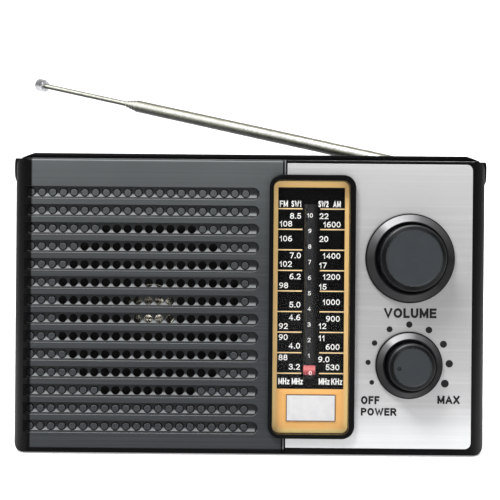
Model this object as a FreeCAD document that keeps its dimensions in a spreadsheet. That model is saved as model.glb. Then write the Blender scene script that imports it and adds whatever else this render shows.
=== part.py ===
import FreeCAD, Part
import math
import os
import re
import Sketcher
from FreeCAD import Placement, Rotation, Vector

# Portable four-band receiver. Origin: middle of the case's underside. X is its width, seen from
# the front with +X to the right, +Y runs from front to back and +Z is up. Millimetres throughout.
SIZES = {
    "case_width": 207.2, "case_height": 127, "case_depth": 64, "wall": 2.5, "corner": 5,
    "front_shell": 28, "shell_gap": 0.1, "flat_half": 95.6, "side_curve": 14, "side_radius": 16.25,
    "ledge_depth": 10, "ledge_drop": 5, "post_x": 94, "post_low": 8, "post_high": 116,
    "post_radius": 3.4, "screw_radius": 1.4,
    # loudspeaker grille
    "slot_height": 5.3, "slot_end": 3.9, "slot_start": -108, "slot_depth": 1.4,
    "row_low": 11.4, "row_pitch": 7.754, "row_count": 14,
    "hole_first": -94.6, "hole_pitch": 4.625, "hole_count": 21, "hole_radius": 1.85,
    "stud_gap": 0.5, "stud_radius": 1.45, "stud_depth": 0.65, "open_radius": 40.6,
    "slope_start": -96, "slope_height": 2.4, "slope_rise": 0.9, "sunk": 0.3,
    # silver face plate and the groove beside it
    "plate_left": 15.9, "plate_right": 95.7, "plate_low": 3, "plate_high": 125.5,
    "plate_corner": 2.7, "plate_thick": 0.9, "plate_recess": 1, "fit": 0.1,
    "groove_left": 14, "groove_depth": 0.8, "ridge_left": 14.6, "ridge_right": 15.2,
    # dial
    "dial_left": 10, "dial_right": 42.9, "dial_low": 9, "dial_high": 118.1, "dial_corner": 3,
    "rim": 1.8, "rim_wide": 2.4, "rim_corner": 5.4, "rim_proud": 2.5, "tube_wall": 0.9,
    "scale_y": -29.6, "scale_thick": 1, "lens_y": -33.4, "lens_thick": 0.8,
    "badge_x": 26.8, "badge_z": 19.9, "badge_width": 21.4, "badge_height": 11.6, "pointer_x": 25.95,
    "pointer_z": 36.4, "pointer_width": 5.1, "pointer_height": 4.2, "pointer_y": -31.1,
    "cord_x": 24.1, "cord_y": -22, "cord_radius": 0.3, "pointer_low": 35.5, "pointer_travel": 67.44,
    # tuning drive
    "tune_x": 68.8, "tune_z": 85, "spindle": 4, "drum_x": 48.5, "drum_z": 66, "drum_radius": 21.46,
    "pulley_x": 27.1, "pulley_low": 16, "pulley_high": 112, "pulley_radius": 3, "shaft_radius": 3,
    "running": 0.05, "bushing_radius": 5, "volume_x": 68.7, "volume_z": 39, "neck_radius": 4,
    # loudspeaker
    "speaker_x": -43.7, "speaker_z": 61.8, "speaker_radius": 49, "magnet_radius": 22.5,
    "lug_height": 2.2, "clip_thick": 1,
    # board, ferrite rod, sockets and band switch
    "board_y": 8.2, "board_thick": 1.6, "ferrite_start": -72, "ferrite_z": 112, "ferrite_radius": 5,
    "ferrite_length": 120, "socket_y": 6, "earphone_z": 95, "supply_z": 78, "switch_y": 6,
    "switch_z": 83, "switch_throw": 9,
    # batteries
    "cell_radius": 16.25, "cell_length": 60, "cell_y": 12.5, "cell_z": 21, "door_half": 90,
    "door_low": 5, "door_high": 38, "door_thick": 2.3,
    # carrying handle
    "pivot_y": -0.8, "pivot_z": 123.6, "arm_inner": 103.9, "arm_outer": 107.9, "ear": 4.4, "pin_radius": 1.5,
    "grip_front": 9.5, "grip_back": 20.5, "grip_low": 127.4, "grip_high": 133.6,
    # telescopic antenna
    "aerial_x": 84, "aerial_y": 26.5, "elbow_z": 129.1, "aerial_yaw": 153, "aerial_rise": 13.8,
    "tube_length": 172, "section_wall": 0.38, "section_step": 0.45, "tube_radius": 3.3,
    "section_show": 2.2, "rod_out": 62, "rod_radius": 1.4, "cap_radius": 3.6, "cap_length": 6.3,
    "peg_radius": 2.5,
}

UP, TO_BACK = Vector(0, 0, 1), Vector(0, 1, 0)

doc = FreeCAD.newDocument("receiver")
sheet = doc.addObject("Spreadsheet::Sheet", "dims")
subparts = []


def fill_sheet():
    """One row per driving dimension: its name, its value and the alias that expressions use."""
    for row, (name, value) in enumerate(SIZES.items(), start=1):
        sheet.set(f"A{row}", name)
        sheet.set(f"B{row}", str(value))
        sheet.setAlias(f"B{row}", name)
    doc.recompute()


def size(text):
    """The present value of an expression on the sheet's sizes."""
    return float(sheet.evalExpression(str(text)))


def linked(text):
    """The same expression as another object of the document writes it."""
    return re.sub(r"[a-z_]{3,}", lambda word: f"dims.{word[0]}" if word[0] in SIZES else word[0], str(text))


def keep(item, name, x=0, y=0, z=0, yaw=0, pitch=0):
    """Label an object as a sub-part and bind its place to the sheet."""
    item.Label = name
    for axis, text in (("x", x), ("y", y), ("z", z)):
        if text != 0:
            item.setExpression(f"Placement.Base.{axis}", linked(text))
    for turn, text in (("Yaw", yaw), ("Pitch", pitch)):
        if text != 0:
            item.setExpression(f"Placement.Rotation.{turn}", linked(text))
    subparts.append(item)
    return item


# ---------------------------------------------------------------- sketches
def new_body(name):
    return doc.addObject("PartDesign::Body", name + "_body")


def new_sketch(body, name, role, offset=0):
    """A sketch on one of the body's origin planes, moved along that plane's normal."""
    plane = next(item for item in body.Origin.OriginFeatures if item.Role == role)
    sketch = body.newObject("Sketcher::SketchObject", name)
    sketch.AttachmentSupport = [(plane, "")]
    sketch.MapMode = "FlatFace"
    if offset != 0:
        sketch.setExpression("AttachmentOffset.Base.z", linked(offset))
    return sketch


def front_sketch(body, name, depth=0):
    """A sketch seen from the front: across is X, up is Z. Its normal points to the front."""
    return new_sketch(body, name, "XZ_Plane", f"-({depth})" if depth != 0 else 0)


def side_sketch(body, name, x=0):
    """A sketch seen from the right: across is Y, up is Z."""
    return new_sketch(body, name, "YZ_Plane", x)


def plan_sketch(body, name, z=0):
    """A sketch seen from above: across is X, up is Y."""
    return new_sketch(body, name, "XY_Plane", z)


def dimension(sketch, kind, targets, text):
    number = sketch.addConstraint(Sketcher.Constraint(kind, *targets, size(text)))
    sketch.setExpression(f"Constraints[{number}]", linked(text))


def pin_point(sketch, geometry, end, across, up):
    """Fix one point of a sketch at a place given by two expressions."""
    for kind, text, axis in (("DistanceX", across, -2), ("DistanceY", up, -1)):
        if abs(size(text)) < 1e-9:
            sketch.addConstraint(Sketcher.Constraint("PointOnObject", geometry, end, axis))
        else:
            dimension(sketch, kind, (-1, 1, geometry, end), text)


def circle(sketch, across, up, radius):
    place = Vector(size(across), size(up), 0)
    geometry = sketch.addGeometry(Part.Circle(place, Vector(0, 0, 1), size(radius)))
    pin_point(sketch, geometry, 3, across, up)
    dimension(sketch, "Radius", (geometry,), radius)


def arc_between(first, second, radius):
    """The short arc from first to second, counter-clockwise when radius is positive."""
    chord = second - first
    half = chord.Length / 2
    rise = math.sqrt(max(radius * radius - half * half, 0))
    side = Vector(-chord.y, chord.x, 0).normalize() * (rise if radius > 0 else -rise)
    centre = (first + second) / 2 + side
    start, stop = (first, second) if radius > 0 else (second, first)
    angles = [math.atan2(point.y - centre.y, point.x - centre.x) for point in (start, stop)]
    if angles[1] < angles[0]:
        angles[1] += 2 * math.pi
    return Part.ArcOfCircle(Part.Circle(centre, Vector(0, 0, 1), abs(radius)), *angles)


def outline(sketch, corners):
    """Close a chain of lines and arcs. A corner is (across, up), or (across, up, radius) where an
    arc leaves it: counter-clockwise for a positive radius, clockwise for a negative one."""
    places = [Vector(size(corner[0]), size(corner[1]), 0) for corner in corners]
    ends = []
    for index, corner in enumerate(corners):
        first, second = places[index], places[(index + 1) % len(places)]
        radius = size(corner[2]) if len(corner) > 2 else 0
        shape = arc_between(first, second, radius) if radius else Part.LineSegment(first, second)
        geometry = sketch.addGeometry(shape)
        ends.append((geometry, 2, 1) if radius < 0 else (geometry, 1, 2))
        if radius:
            dimension(sketch, "Radius", (geometry,), f"({corner[2]}) * {1 if radius > 0 else -1}")
    for index, (geometry, start, stop) in enumerate(ends):
        following = ends[(index + 1) % len(ends)]
        sketch.addConstraint(Sketcher.Constraint("Coincident", geometry, stop, following[0], following[1]))
        pin_point(sketch, geometry, start, corners[index][0], corners[index][1])


def rectangle(sketch, left, low, right, high):
    outline(sketch, [(left, low), (right, low), (right, high), (left, high)])


def rounded(sketch, left, low, right, high, radius):
    """A rectangle whose corners are arcs."""
    outline(sketch, [
        (f"{left} + {radius}", low), (f"{right} - ({radius})", low, radius),
        (right, f"{low} + {radius}"), (right, f"{high} - ({radius})", radius),
        (f"{right} - ({radius})", high), (f"{left} + {radius}", high, radius),
        (left, f"{high} - ({radius})"), (left, f"{low} + {radius}", radius)])


def right_rounded(sketch, left, low, right, high, radius):
    """A rectangle whose two right corners are arcs and whose left corners are square."""
    outline(sketch, [
        (left, low), (f"{right} - ({radius})", low, radius), (right, f"{low} + {radius}"),
        (right, f"{high} - ({radius})", radius), (f"{right} - ({radius})", high), (left, high)])


def stadium(sketch, left, low, right, high):
    """A level slot with half-round ends."""
    half = f"(({high} - ({low})) / 2)"
    middle = f"({low} + {half})"
    outline(sketch, [
        (f"{left} + {half}", low), (f"{right} - {half}", low, half), (right, middle, half),
        (f"{right} - {half}", high), (f"{left} + {half}", high, half), (left, middle, half)])


def dome(reach, rise):
    """The radius of the ball that rises by that much over that distance from its axis."""
    return f"(({reach} ^ 2 + {rise} ^ 2) / (2 * {rise}))"


# ---------------------------------------------------------------- features
def extrude(kind, body, sketch, length, reverse=False, symmetric=False):
    feature = body.newObject(f"PartDesign::{kind}", sketch.Name + kind)
    feature.Profile = sketch
    feature.setExpression("Length", linked(length))
    feature.Reversed = reverse
    if symmetric:
        feature.SideType = "Symmetric"
    body.Tip = feature
    return feature


def pad(body, sketch, length, **options):
    return extrude("Pad", body, sketch, length, **options)


def pocket(body, sketch, length, **options):
    """Cut along the sketch and stop if nothing was removed."""
    doc.recompute()
    before = body.Shape.Volume
    feature = extrude("Pocket", body, sketch, length, **options)
    doc.recompute()
    if body.Shape.Volume > before - 1e-6:
        raise ValueError(f"{sketch.Name} cut nothing")
    return feature


def turned(body, name, corners):
    """Revolve a half outline about the body's Y axis: across is the radius, up is the depth."""
    sketch = plan_sketch(body, name)
    outline(sketch, corners)
    feature = body.newObject("PartDesign::Revolution", name + "Turn")
    feature.Profile = sketch
    feature.ReferenceAxis = (sketch, ["V_Axis"])
    body.Tip = feature
    return feature


def turned_along_x(body, name, corners):
    """Revolve a half outline about the body's X axis: across is X, up is the radius."""
    sketch = plan_sketch(body, name)
    outline(sketch, corners)
    feature = body.newObject("PartDesign::Revolution", name + "Turn")
    feature.Profile = sketch
    feature.ReferenceAxis = (sketch, ["H_Axis"])
    body.Tip = feature
    return feature


def repeat_line(body, original, sketch, axis, spacing, count, reverse=False):
    """Repeat a feature along one axis of its sketch."""
    doc.recompute()
    pattern = body.newObject("PartDesign::LinearPattern", sketch.Name + "Row")
    pattern.Originals = [original]
    pattern.Direction = (sketch, [axis])
    pattern.Mode = "Spacing"
    pattern.setExpression("Offset", linked(spacing))
    pattern.setExpression("Occurrences", linked(count))
    pattern.Reversed = reverse
    body.Tip = pattern
    doc.recompute()
    return pattern


def repeat_round(body, original, name, count):
    """Repeat a feature evenly about the body's Y axis."""
    pattern = body.newObject("PartDesign::PolarPattern", name)
    pattern.Originals = [original]
    axis = next(item for item in body.Origin.OriginFeatures if item.Role == "Y_Axis")
    pattern.Axis = (axis, [""])
    pattern.Angle = 360
    pattern.Occurrences = count
    body.Tip = pattern


def soften(body, name, radius, chosen):
    """Round the edges of the body that the test picks."""
    doc.recompute()
    base = body.Tip
    edges = [f"Edge{i}" for i, edge in enumerate(base.Shape.Edges, start=1) if chosen(edge)]
    feature = body.newObject("PartDesign::Fillet", name)
    feature.Base = (base, edges)
    feature.setExpression("Radius", linked(radius))
    body.Tip = feature
    doc.recompute()
    return feature


def spans(edge, axis):
    """How far an edge reaches along one axis."""
    return {"x": edge.BoundBox.XLength, "y": edge.BoundBox.YLength, "z": edge.BoundBox.ZLength}[axis]


def lies_at(edge, axis, value):
    """Whether a whole edge lies in the plane where that axis has the value."""
    box = edge.BoundBox
    low, high = {"x": (box.XMin, box.XMax), "y": (box.YMin, box.YMax), "z": (box.ZMin, box.ZMax)}[axis]
    return abs(low - value) < 1e-3 and abs(high - value) < 1e-3


def cylinder(name, radius, length, x=0, y=0, z=0, direction=(0, 0, 1)):
    """A plain rod primitive from a start point along one axis."""
    item = doc.addObject("Part::Cylinder", name)
    item.setExpression("Radius", linked(radius))
    item.setExpression("Height", linked(length))
    item.Placement = Placement(Vector(size(x), size(y), size(z)), Rotation(UP, Vector(*direction)))
    for axis, text in (("x", x), ("y", y), ("z", z)):
        item.setExpression(f"Placement.Base.{axis}", linked(text))
    return item


def block(name, length, width, height, x, y, z):
    """A box primitive from its lowest corner."""
    item = doc.addObject("Part::Box", name)
    for property_name, text in (("Length", length), ("Width", width), ("Height", height)):
        item.setExpression(property_name, linked(text))
    for axis, text in (("x", x), ("y", y), ("z", z)):
        item.setExpression(f"Placement.Base.{axis}", linked(text))
    return item


def fused(name, *items):
    item = doc.addObject("Part::MultiFuse", name + "_fuse")
    item.Shapes = list(items)
    return item


def cut(name, base, tool):
    item = doc.addObject("Part::Cut", name + "_cut")
    item.Base = base
    item.Tool = tool
    return item


def group(name, items):
    """Identical loose pieces kept as separate solids of one sub-part."""
    item = doc.addObject("Part::Compound", name + "_set")
    item.Links = items
    return item


# ---------------------------------------------------------------- case
FRONT = "case_depth / 2"
PARTING = "(front_shell - case_depth / 2)"
INSIDE = "(wall - case_depth / 2)"
POSTS = [(x, z) for z in ("post_low", "post_high") for x in ("post_x", "-(post_x)")]


def keep_rounded_front(body, name):
    """Cut away what lies outside the case's rounded outline as seen from the front."""
    frame = front_sketch(body, name, "-(case_depth)")
    rectangle(frame, "-(case_width)", -20, "case_width", "case_height + 20")
    rounded(frame, "-(case_width / 2)", 0, "case_width / 2", "case_height", "corner")
    pocket(body, frame, "case_depth * 2")


def grille_places():
    """Every place of the grille, and whether it lies in front of the cone."""
    for row in range(int(size("row_count"))):
        z = size("row_low") + row * size("row_pitch")
        for column in range(int(size("hole_count"))):
            x = size("hole_first") + column * size("hole_pitch")
            off_centre = math.hypot(x - size("speaker_x"), z - size("speaker_z"))
            yield x, z, off_centre < size("open_radius")


def rods(name, places, radius, front_y, back_y):
    """Parallel cylinders from front to back, kept as one compound."""
    start, end = size(front_y), size(back_y)
    item = doc.addObject("Part::Feature", name)
    item.Shape = Part.makeCompound([
        Part.makeCylinder(size(radius), end - start, Vector(x, start, z), TO_BACK) for x, z in places])
    return item


def drilled_grille(body):
    """Drill the grille through in front of the cone; elsewhere each hole is blind around a stud."""
    floor = f"(slot_depth - {FRONT})"
    drill_start, gap_floor = f"{floor} - 1.5", f"{floor} + stud_gap"
    through = [(x, z) for x, z, is_open in grille_places() if is_open]
    blind = [(x, z) for x, z, is_open in grille_places() if not is_open]
    drills = group("grille_drills", [
        rods("through_drills", through, "hole_radius", drill_start, f"{floor} + wall"),
        rods("blind_drills", blind, "hole_radius", drill_start, gap_floor)])
    studs = rods("grille_studs", blind, "stud_radius", f"stud_depth - {FRONT}", f"{gap_floor} + 0.2")
    return fused("front_case", cut("drilled_front", body, drills), studs)


def front_case():
    """The front shell: a dish with slots and holes over the loudspeaker, and openings for the dial."""
    body = new_body("front_case")
    plan = plan_sketch(body, "front_plan")
    outline(plan, [
        ("-(flat_half)", f"-({FRONT})"), ("flat_half", f"-({FRONT})", "side_radius"),
        ("case_width / 2", f"side_curve - {FRONT}"), ("case_width / 2", PARTING),
        ("-(case_width / 2)", PARTING), ("-(case_width / 2)", f"side_curve - {FRONT}", "side_radius")])
    pad(body, plan, "case_height")
    keep_rounded_front(body, "front_outline")
    hollow = plan_sketch(body, "front_hollow", "wall")
    inner, curve_end = "(side_radius - wall)", f"side_curve - {FRONT}"
    reach = f"(case_width / 2 - side_radius + sqrt({inner} ^ 2 - (side_curve - wall) ^ 2))"
    outline(hollow, [
        (f"-({reach})", INSIDE), (reach, INSIDE, inner), ("case_width / 2 - wall", curve_end),
        ("case_width / 2 - wall", f"{PARTING} + 1"), ("wall - case_width / 2", f"{PARTING} + 1"),
        ("wall - case_width / 2", curve_end, inner)])
    pocket(body, hollow, "case_height - wall * 2", reverse=True)
    soften(body, "front_edges", 1.4, lambda edge: spans(edge, "x") > 150 and (
        lies_at(edge, "y", -size(FRONT))))
    add_front_bosses(body)
    cut_front_face(body)
    cut_grille_slots(body)
    doc.recompute()
    return keep(drilled_grille(body), "front_case")


def add_front_bosses(body):
    """Posts that take the case screws, and short lugs that take the loudspeaker's clips."""
    posts = front_sketch(body, "front_posts", INSIDE)
    for x, z in POSTS:
        circle(posts, x, z, "post_radius")
    pad(body, posts, f"{PARTING} - {INSIDE} - 0.2", reverse=True)
    pilots = front_sketch(body, "front_pilots", PARTING)
    for x, z in POSTS:
        circle(pilots, x, z, "screw_radius + 0.1")
    pocket(body, pilots, 16, reverse=True)
    lugs = front_sketch(body, "speaker_lugs", INSIDE)
    for x, z in speaker_corners():
        circle(lugs, x, z, 3)
    pad(body, lugs, "lug_height", reverse=True)
    lug_bores = front_sketch(body, "lug_bores", f"{INSIDE} + lug_height")
    for x, z in speaker_corners():
        circle(lug_bores, x, z, 1.25)
    pocket(body, lug_bores, "lug_height - 0.1", reverse=True)


def cut_front_face(body):
    """The bed of the silver plate, two grooves beside it, and openings for the dial and spindles."""
    recess = front_sketch(body, "plate_recess", f"-({FRONT})")
    right_rounded(recess, "plate_left - fit", "plate_low - fit", "plate_right + fit",
                  "plate_high + fit", "plate_corner")
    pocket(body, recess, "plate_recess")
    grooves = front_sketch(body, "panel_grooves", f"-({FRONT})")
    rectangle(grooves, "groove_left", -1, "ridge_left", "case_height + 1")
    rectangle(grooves, "ridge_right", -1, "plate_left - fit / 2", "case_height + 1")
    pocket(body, grooves, "groove_depth")
    window = front_sketch(body, "dial_opening", f"-({FRONT})")
    dial_hole(window)
    pocket(body, window, "wall + 4")
    bores = front_sketch(body, "knob_bores", f"-({FRONT})")
    circle(bores, "tune_x", "tune_z", "bushing_radius + fit")
    circle(bores, "volume_x", "volume_z", "neck_radius + fit")
    pocket(body, bores, "wall + 4")


def dial_hole(sketch):
    """The outline of the hole that the dial surround's tube passes through."""
    edge = "(tube_wall + fit)"
    rounded(sketch, f"dial_left - {edge}", f"dial_low - {edge}", f"dial_right + {edge}",
            f"dial_high + {edge}", "(dial_corner + 1)")


def cut_grille_slots(body):
    """The rows of shallow slots, each with a floor that slopes outward along its lower half."""
    slot = front_sketch(body, "grille_slot", f"-({FRONT})")
    stadium(slot, "slot_start", "row_low - slot_height / 2", "slot_end", "row_low + slot_height / 2")
    first = pocket(body, slot, "slot_depth")
    repeat_line(body, first, slot, "V_Axis", "row_pitch", "row_count")
    slope = side_sketch(body, "grille_slope", "slope_start")
    foot, floor = "(row_low - slot_height / 2)", f"(slot_depth - {FRONT})"
    outline(slope, [
        (f"{floor} + sunk", f"{foot} - sunk"), (f"{floor} + sunk", f"{foot} + slope_height"),
        (floor, f"{foot} + slope_height"), (f"{floor} - slope_rise", f"{foot} + sunk"),
        (f"{floor} - slope_rise", f"{foot} - sunk")])
    wedge = pad(body, slope, "slot_end - 1.2 - slope_start")
    repeat_line(body, wedge, slope, "V_Axis", "row_pitch", "row_count")


def speaker_corners():
    """The four places where clips hold the loudspeaker's rim."""
    reach = "(speaker_radius + 3.6) * sqrt(0.5)"
    corners = [(i, k) for i in (1, -1) for k in (1, -1)]
    return [(f"speaker_x + {i} * ({reach})", f"speaker_z + {k} * ({reach})") for i, k in corners]


def rear_case():
    """The rear shell: a tray with a ledge for the antenna, a battery opening and screw posts."""
    body = new_body("rear_case")
    front_y, back = f"({PARTING} + shell_gap)", "(case_depth / 2)"
    profile = side_sketch(body, "rear_profile")
    outline(profile, [
        (front_y, 0), (f"{back} - 4", 0, 4), (back, 4), (back, "case_height - ledge_drop"),
        (f"{back} - ledge_depth", "case_height - ledge_drop"), (f"{back} - ledge_depth", "case_height"),
        (front_y, "case_height")])
    pad(body, profile, "case_width", symmetric=True)
    keep_rounded_front(body, "rear_outline")
    trim = plan_sketch(body, "rear_trim", -5)
    rectangle(trim, "-(case_width)", "-(case_depth)", "case_width", "case_depth")
    outline(trim, [
        ("-(case_width / 2)", "-(case_depth / 2)"), ("case_width / 2", "-(case_depth / 2)"),
        ("case_width / 2", f"{back} - 7", 7), ("case_width / 2 - 7", back),
        ("7 - case_width / 2", back, 7), ("-(case_width / 2)", f"{back} - 7")])
    pocket(body, trim, "case_height + 10", reverse=True)
    hollow = side_sketch(body, "rear_hollow")
    low, top = "wall", "(case_height - wall)"
    outline(hollow, [
        (f"{front_y} - 1", low), (f"{back} - wall - 2.5", low, 2.5), (f"{back} - wall", f"{low} + 2.5"),
        (f"{back} - wall", f"{top} - ledge_drop"), (f"{back} - wall - ledge_depth", f"{top} - ledge_drop"),
        (f"{back} - wall - ledge_depth", top), (f"{front_y} - 1", top)])
    pocket(body, hollow, "case_width - wall * 2 - 4", symmetric=True)
    add_rear_posts(body, front_y)
    open_battery_bay(body)
    open_rear_holes(body)
    return keep(body, "rear_case")


def add_rear_posts(body, front_y):
    """Posts for the case screws in the corners, and shorter ones that carry the board."""
    inner_back = "(case_depth / 2 - wall)"
    posts = front_sketch(body, "rear_posts", inner_back)
    for x, z in POSTS:
        circle(posts, x, z, "post_radius")
    pad(body, posts, f"{inner_back} - {front_y} - 0.1")
    wells = front_sketch(body, "screw_wells", "case_depth / 2")
    for x, z in POSTS:
        circle(wells, x, z, "screw_radius * 2")
    pocket(body, wells, "case_depth / 2 - 4", reverse=True)
    shanks = front_sketch(body, "screw_bores", "case_depth / 2")
    for x, z in POSTS:
        circle(shanks, x, z, "screw_radius + 0.1")
    pocket(body, shanks, "case_depth", reverse=True)
    board_posts = front_sketch(body, "board_posts", inner_back)
    for x, z in BOARD_HOLES:
        circle(board_posts, x, z, 3)
    pad(body, board_posts, f"{inner_back} - 10")
    board_bores = front_sketch(body, "board_bores", 9)
    for x, z in BOARD_HOLES:
        circle(board_bores, x, z, 1.2)
    pocket(body, board_bores, 12)


BOARD_HOLES = [(-12, 116.5), (72, 116.5), (-12, 46), (86, 46)]


def open_battery_bay(body):
    """The door's opening in the back wall, with the two small pivot sockets beside it."""
    back, centre = "(case_depth / 2)", "(case_depth / 2 - door_thick / 2)"
    bay = side_sketch(body, "battery_bay")
    rectangle(bay, f"{back} - wall - 0.5", "door_low - 0.3", f"{back} + 1", "door_high + 0.3")
    pocket(body, bay, "door_half * 2 + 0.6", symmetric=True)
    sockets = side_sketch(body, "door_sockets")
    circle(sockets, centre, "door_low + door_thick / 2", 0.75)
    pocket(body, sockets, "door_half * 2 + 4", symmetric=True)


def open_rear_holes(body):
    """Sockets on the left side, the band switch slot on the right, and sound slots in the back."""
    left = side_sketch(body, "socket_holes", "-(case_width / 2 + 1)")
    circle(left, "socket_y", "earphone_z", 3.6)
    circle(left, "socket_y", "supply_z", 4.6)
    pocket(body, left, 6, reverse=True)
    right = side_sketch(body, "switch_slot", "case_width / 2 + 1")
    rounded(right, "switch_y - 2", "switch_z - switch_throw", "switch_y + 2", "switch_z + switch_throw", 1.5)
    pocket(body, right, 6)
    for side, name in ((1, "right"), (-1, "left")):
        pivot = side_sketch(body, f"pivot_hole_{name}", f"{side} * (case_width / 2 + 1)")
        circle(pivot, "pivot_y", "pivot_z", "pin_radius + 0.08")
        pocket(body, pivot, 7, reverse=side < 0)
    swivel = plan_sketch(body, "swivel_hole", "case_height")
    circle(swivel, "aerial_x", "aerial_y", "peg_radius + fit")
    pocket(body, swivel, "ledge_drop + wall + 1")
    vent = front_sketch(body, "sound_slot", "case_depth / 2")
    stadium(vent, -80, 62, -8, 64)
    first = pocket(body, vent, 4, reverse=True)
    repeat_line(body, first, vent, "V_Axis", 5, 8)


# ---------------------------------------------------------------- face plate and dial
def face_plate():
    """The thin silver plate beside the grille, cut out around the dial and the two spindles."""
    body = new_body("face_plate")
    sheet_metal = front_sketch(body, "plate_outline", f"plate_recess - {FRONT} - 0.02")
    right_rounded(sheet_metal, "plate_left", "plate_low", "plate_right", "plate_high", "plate_corner")
    pad(body, sheet_metal, "plate_thick")
    window = front_sketch(body, "plate_window", f"-({FRONT})")
    dial_hole(window)
    circle(window, "tune_x", "tune_z", "bushing_radius + fit * 2")
    circle(window, "volume_x", "volume_z", "neck_radius + fit * 2")
    pocket(body, window, 3)
    return keep(body, "face_plate")


def dial_surround():
    """The raised frame around the dial: a lip on the face and a tube that passes through the wall."""
    body = new_body("dial_surround")
    lip = front_sketch(body, "lip_outline", f"-({FRONT}) - 0.05")
    rounded(lip, "dial_left - rim", "dial_low - rim", "dial_right + rim_wide", "dial_high + rim_wide",
            "rim_corner")
    pad(body, lip, "rim_proud")
    soften(body, "lip_edge", 0.7, lambda edge: lies_at(edge, "y", -size(f"{FRONT} + 0.05 + rim_proud")))
    tube = front_sketch(body, "tube_outline", f"-({FRONT}) - 0.05")
    rounded(tube, "dial_left - tube_wall", "dial_low - tube_wall", "dial_right + tube_wall",
            "dial_high + tube_wall", "(dial_corner + 0.9)")
    pad(body, tube, "wall + 1", reverse=True)
    opening = front_sketch(body, "lip_opening", -40)
    rounded(opening, "dial_left", "dial_low", "dial_right", "dial_high", "dial_corner")
    pocket(body, opening, 20)
    return keep(body, "dial_surround")


def dial_panel(name, front_y, thickness, gap):
    """A flat panel that fills the dial opening, less a gap all round."""
    body = new_body(name)
    face = front_sketch(body, name + "_face", f"{front_y} + {thickness}")
    rounded(face, f"dial_left + {gap}", f"dial_low + {gap}", f"dial_right - {gap}", f"dial_high - {gap}",
            f"(dial_corner - {gap})")
    pad(body, face, thickness)
    return body


def dial_scale():
    """The printed scale, slotted beside its middle channel for the pointer's stem."""
    body = dial_panel("dial_scale", "scale_y", "scale_thick", 0.1)
    slot = front_sketch(body, "stem_slot", "scale_y")
    half = "(pointer_height / 2 + 1)"
    rectangle(slot, "cord_x - 0.5", f"pointer_low - {half}", "cord_x + 0.5",
              f"pointer_low + pointer_travel + {half}")
    pocket(body, slot, "scale_thick + 1")
    return keep(body, "dial_scale")


def badge():
    """The blank plate at the foot of the dial."""
    body = new_body("badge")
    face = front_sketch(body, "badge_face", "scale_y - 0.05")
    rounded(face, "badge_x - badge_width / 2", "badge_z - badge_height / 2", "badge_x + badge_width / 2",
            "badge_z + badge_height / 2", 0.4)
    pad(body, face, 0.5)
    return keep(body, "badge")


def dial_pointer():
    """The coloured marker and its stem, modelled about the marker's centre."""
    body = new_body("dial_pointer")
    face = front_sketch(body, "marker_face", "pointer_y + 0.5")
    rounded(face, "-(pointer_width / 2)", "-(pointer_height / 2)", "pointer_width / 2",
            "pointer_height / 2", 0.5)
    pad(body, face, 1)
    stem = front_sketch(body, "stem", "pointer_y + 0.5")
    rectangle(stem, "cord_x - pointer_x - 0.3", -1.5, "cord_x - pointer_x + 0.3", 1.5)
    pad(body, stem, "cord_y - cord_radius - 0.2 - pointer_y - 0.5", reverse=True)
    return keep(body, "dial_pointer", x="pointer_x", z="pointer_z")


# ---------------------------------------------------------------- tuning drive
def tuning_knob():
    """A plain knob: wide cone skirt, dark waist and a barrel with a dished face."""
    body = new_body("tuning_knob")
    turned(body, "tuning_knob_half", [
        (0, -0.4), (19, -0.4), (19.3, -0.8), (19.2, -1.3), (15.8, -4.2), (15.2, -4.3), (14.3, -3.9),
        (14.1, -9.6), (13.7, -10.2), (12.2, -11.6), (11.9, -12), (11.6, -12, dome(11.6, 0.5)), (0, -11.5)])
    drill_knob(body, "tuning_knob", 9)
    return keep(body, "tuning_knob", x="tune_x", y=f"0.02 - {FRONT}", z="tune_z")


def volume_knob():
    """The smaller knob of the same form, with a dimple that marks its setting."""
    body = new_body("volume_knob")
    turned(body, "volume_knob_half", [
        (0, -0.4), (14.2, -0.4), (14.5, -0.8), (14.4, -1.3), (11.7, -3.8), (11, -3.9), (10.2, -3.5),
        (10, -8.8), (9.6, -9.4), (8.4, -10.6), (8.1, -11), (7.8, -11, dome(7.8, 0.3)), (0, -10.7)])
    drill_knob(body, "volume_knob", 8)
    mark = front_sketch(body, "volume_mark", -11.2)
    circle(mark, "-(5.6 * cos(6))", "-(5.6 * sin(6))", 0.9)
    pocket(body, mark, 1)
    return keep(body, "volume_knob", x="volume_x", y=f"0.02 - {FRONT}", z="volume_z")


def drill_knob(body, name, depth):
    """The blind bore in a knob's back that takes the spindle."""
    bore = front_sketch(body, name + "_bore", 1)
    circle(bore, 0, 0, "shaft_radius + 0.02")
    pocket(body, bore, depth + 1, reverse=True)


def tuning_shaft():
    """The spindle that the tuning knob turns: a stem and a spool that the cord wraps once."""
    body = new_body("tuning_shaft")
    turned(body, "tuning_shaft_half", [
        (0, -40.5), ("shaft_radius", -40.5), ("shaft_radius", -24), (4.8, -24), (4.8, -23),
        ("spindle - cord_radius", -23), ("spindle - cord_radius", -21), (4.8, -21), (4.8, -20),
        ("shaft_radius", -20), ("shaft_radius", -13), (0, -13)])
    return keep(body, "tuning_shaft", x="tune_x", z="tune_z")


def tuning_bushing():
    """The bearing of the tuning spindle, with a flange against the inside of the front wall."""
    body = new_body("tuning_bushing")
    turned(body, "tuning_bushing_half", [
        ("shaft_radius + running", -31.6), ("bushing_radius", -31.6), ("bushing_radius", -29.45),
        (7.5, -29.45), (7.5, -27.9), ("bushing_radius", -27.9), ("bushing_radius", -24.4),
        ("shaft_radius + running", -24.4)])
    return keep(body, "tuning_bushing", x="tune_x", z="tune_z")


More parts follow.
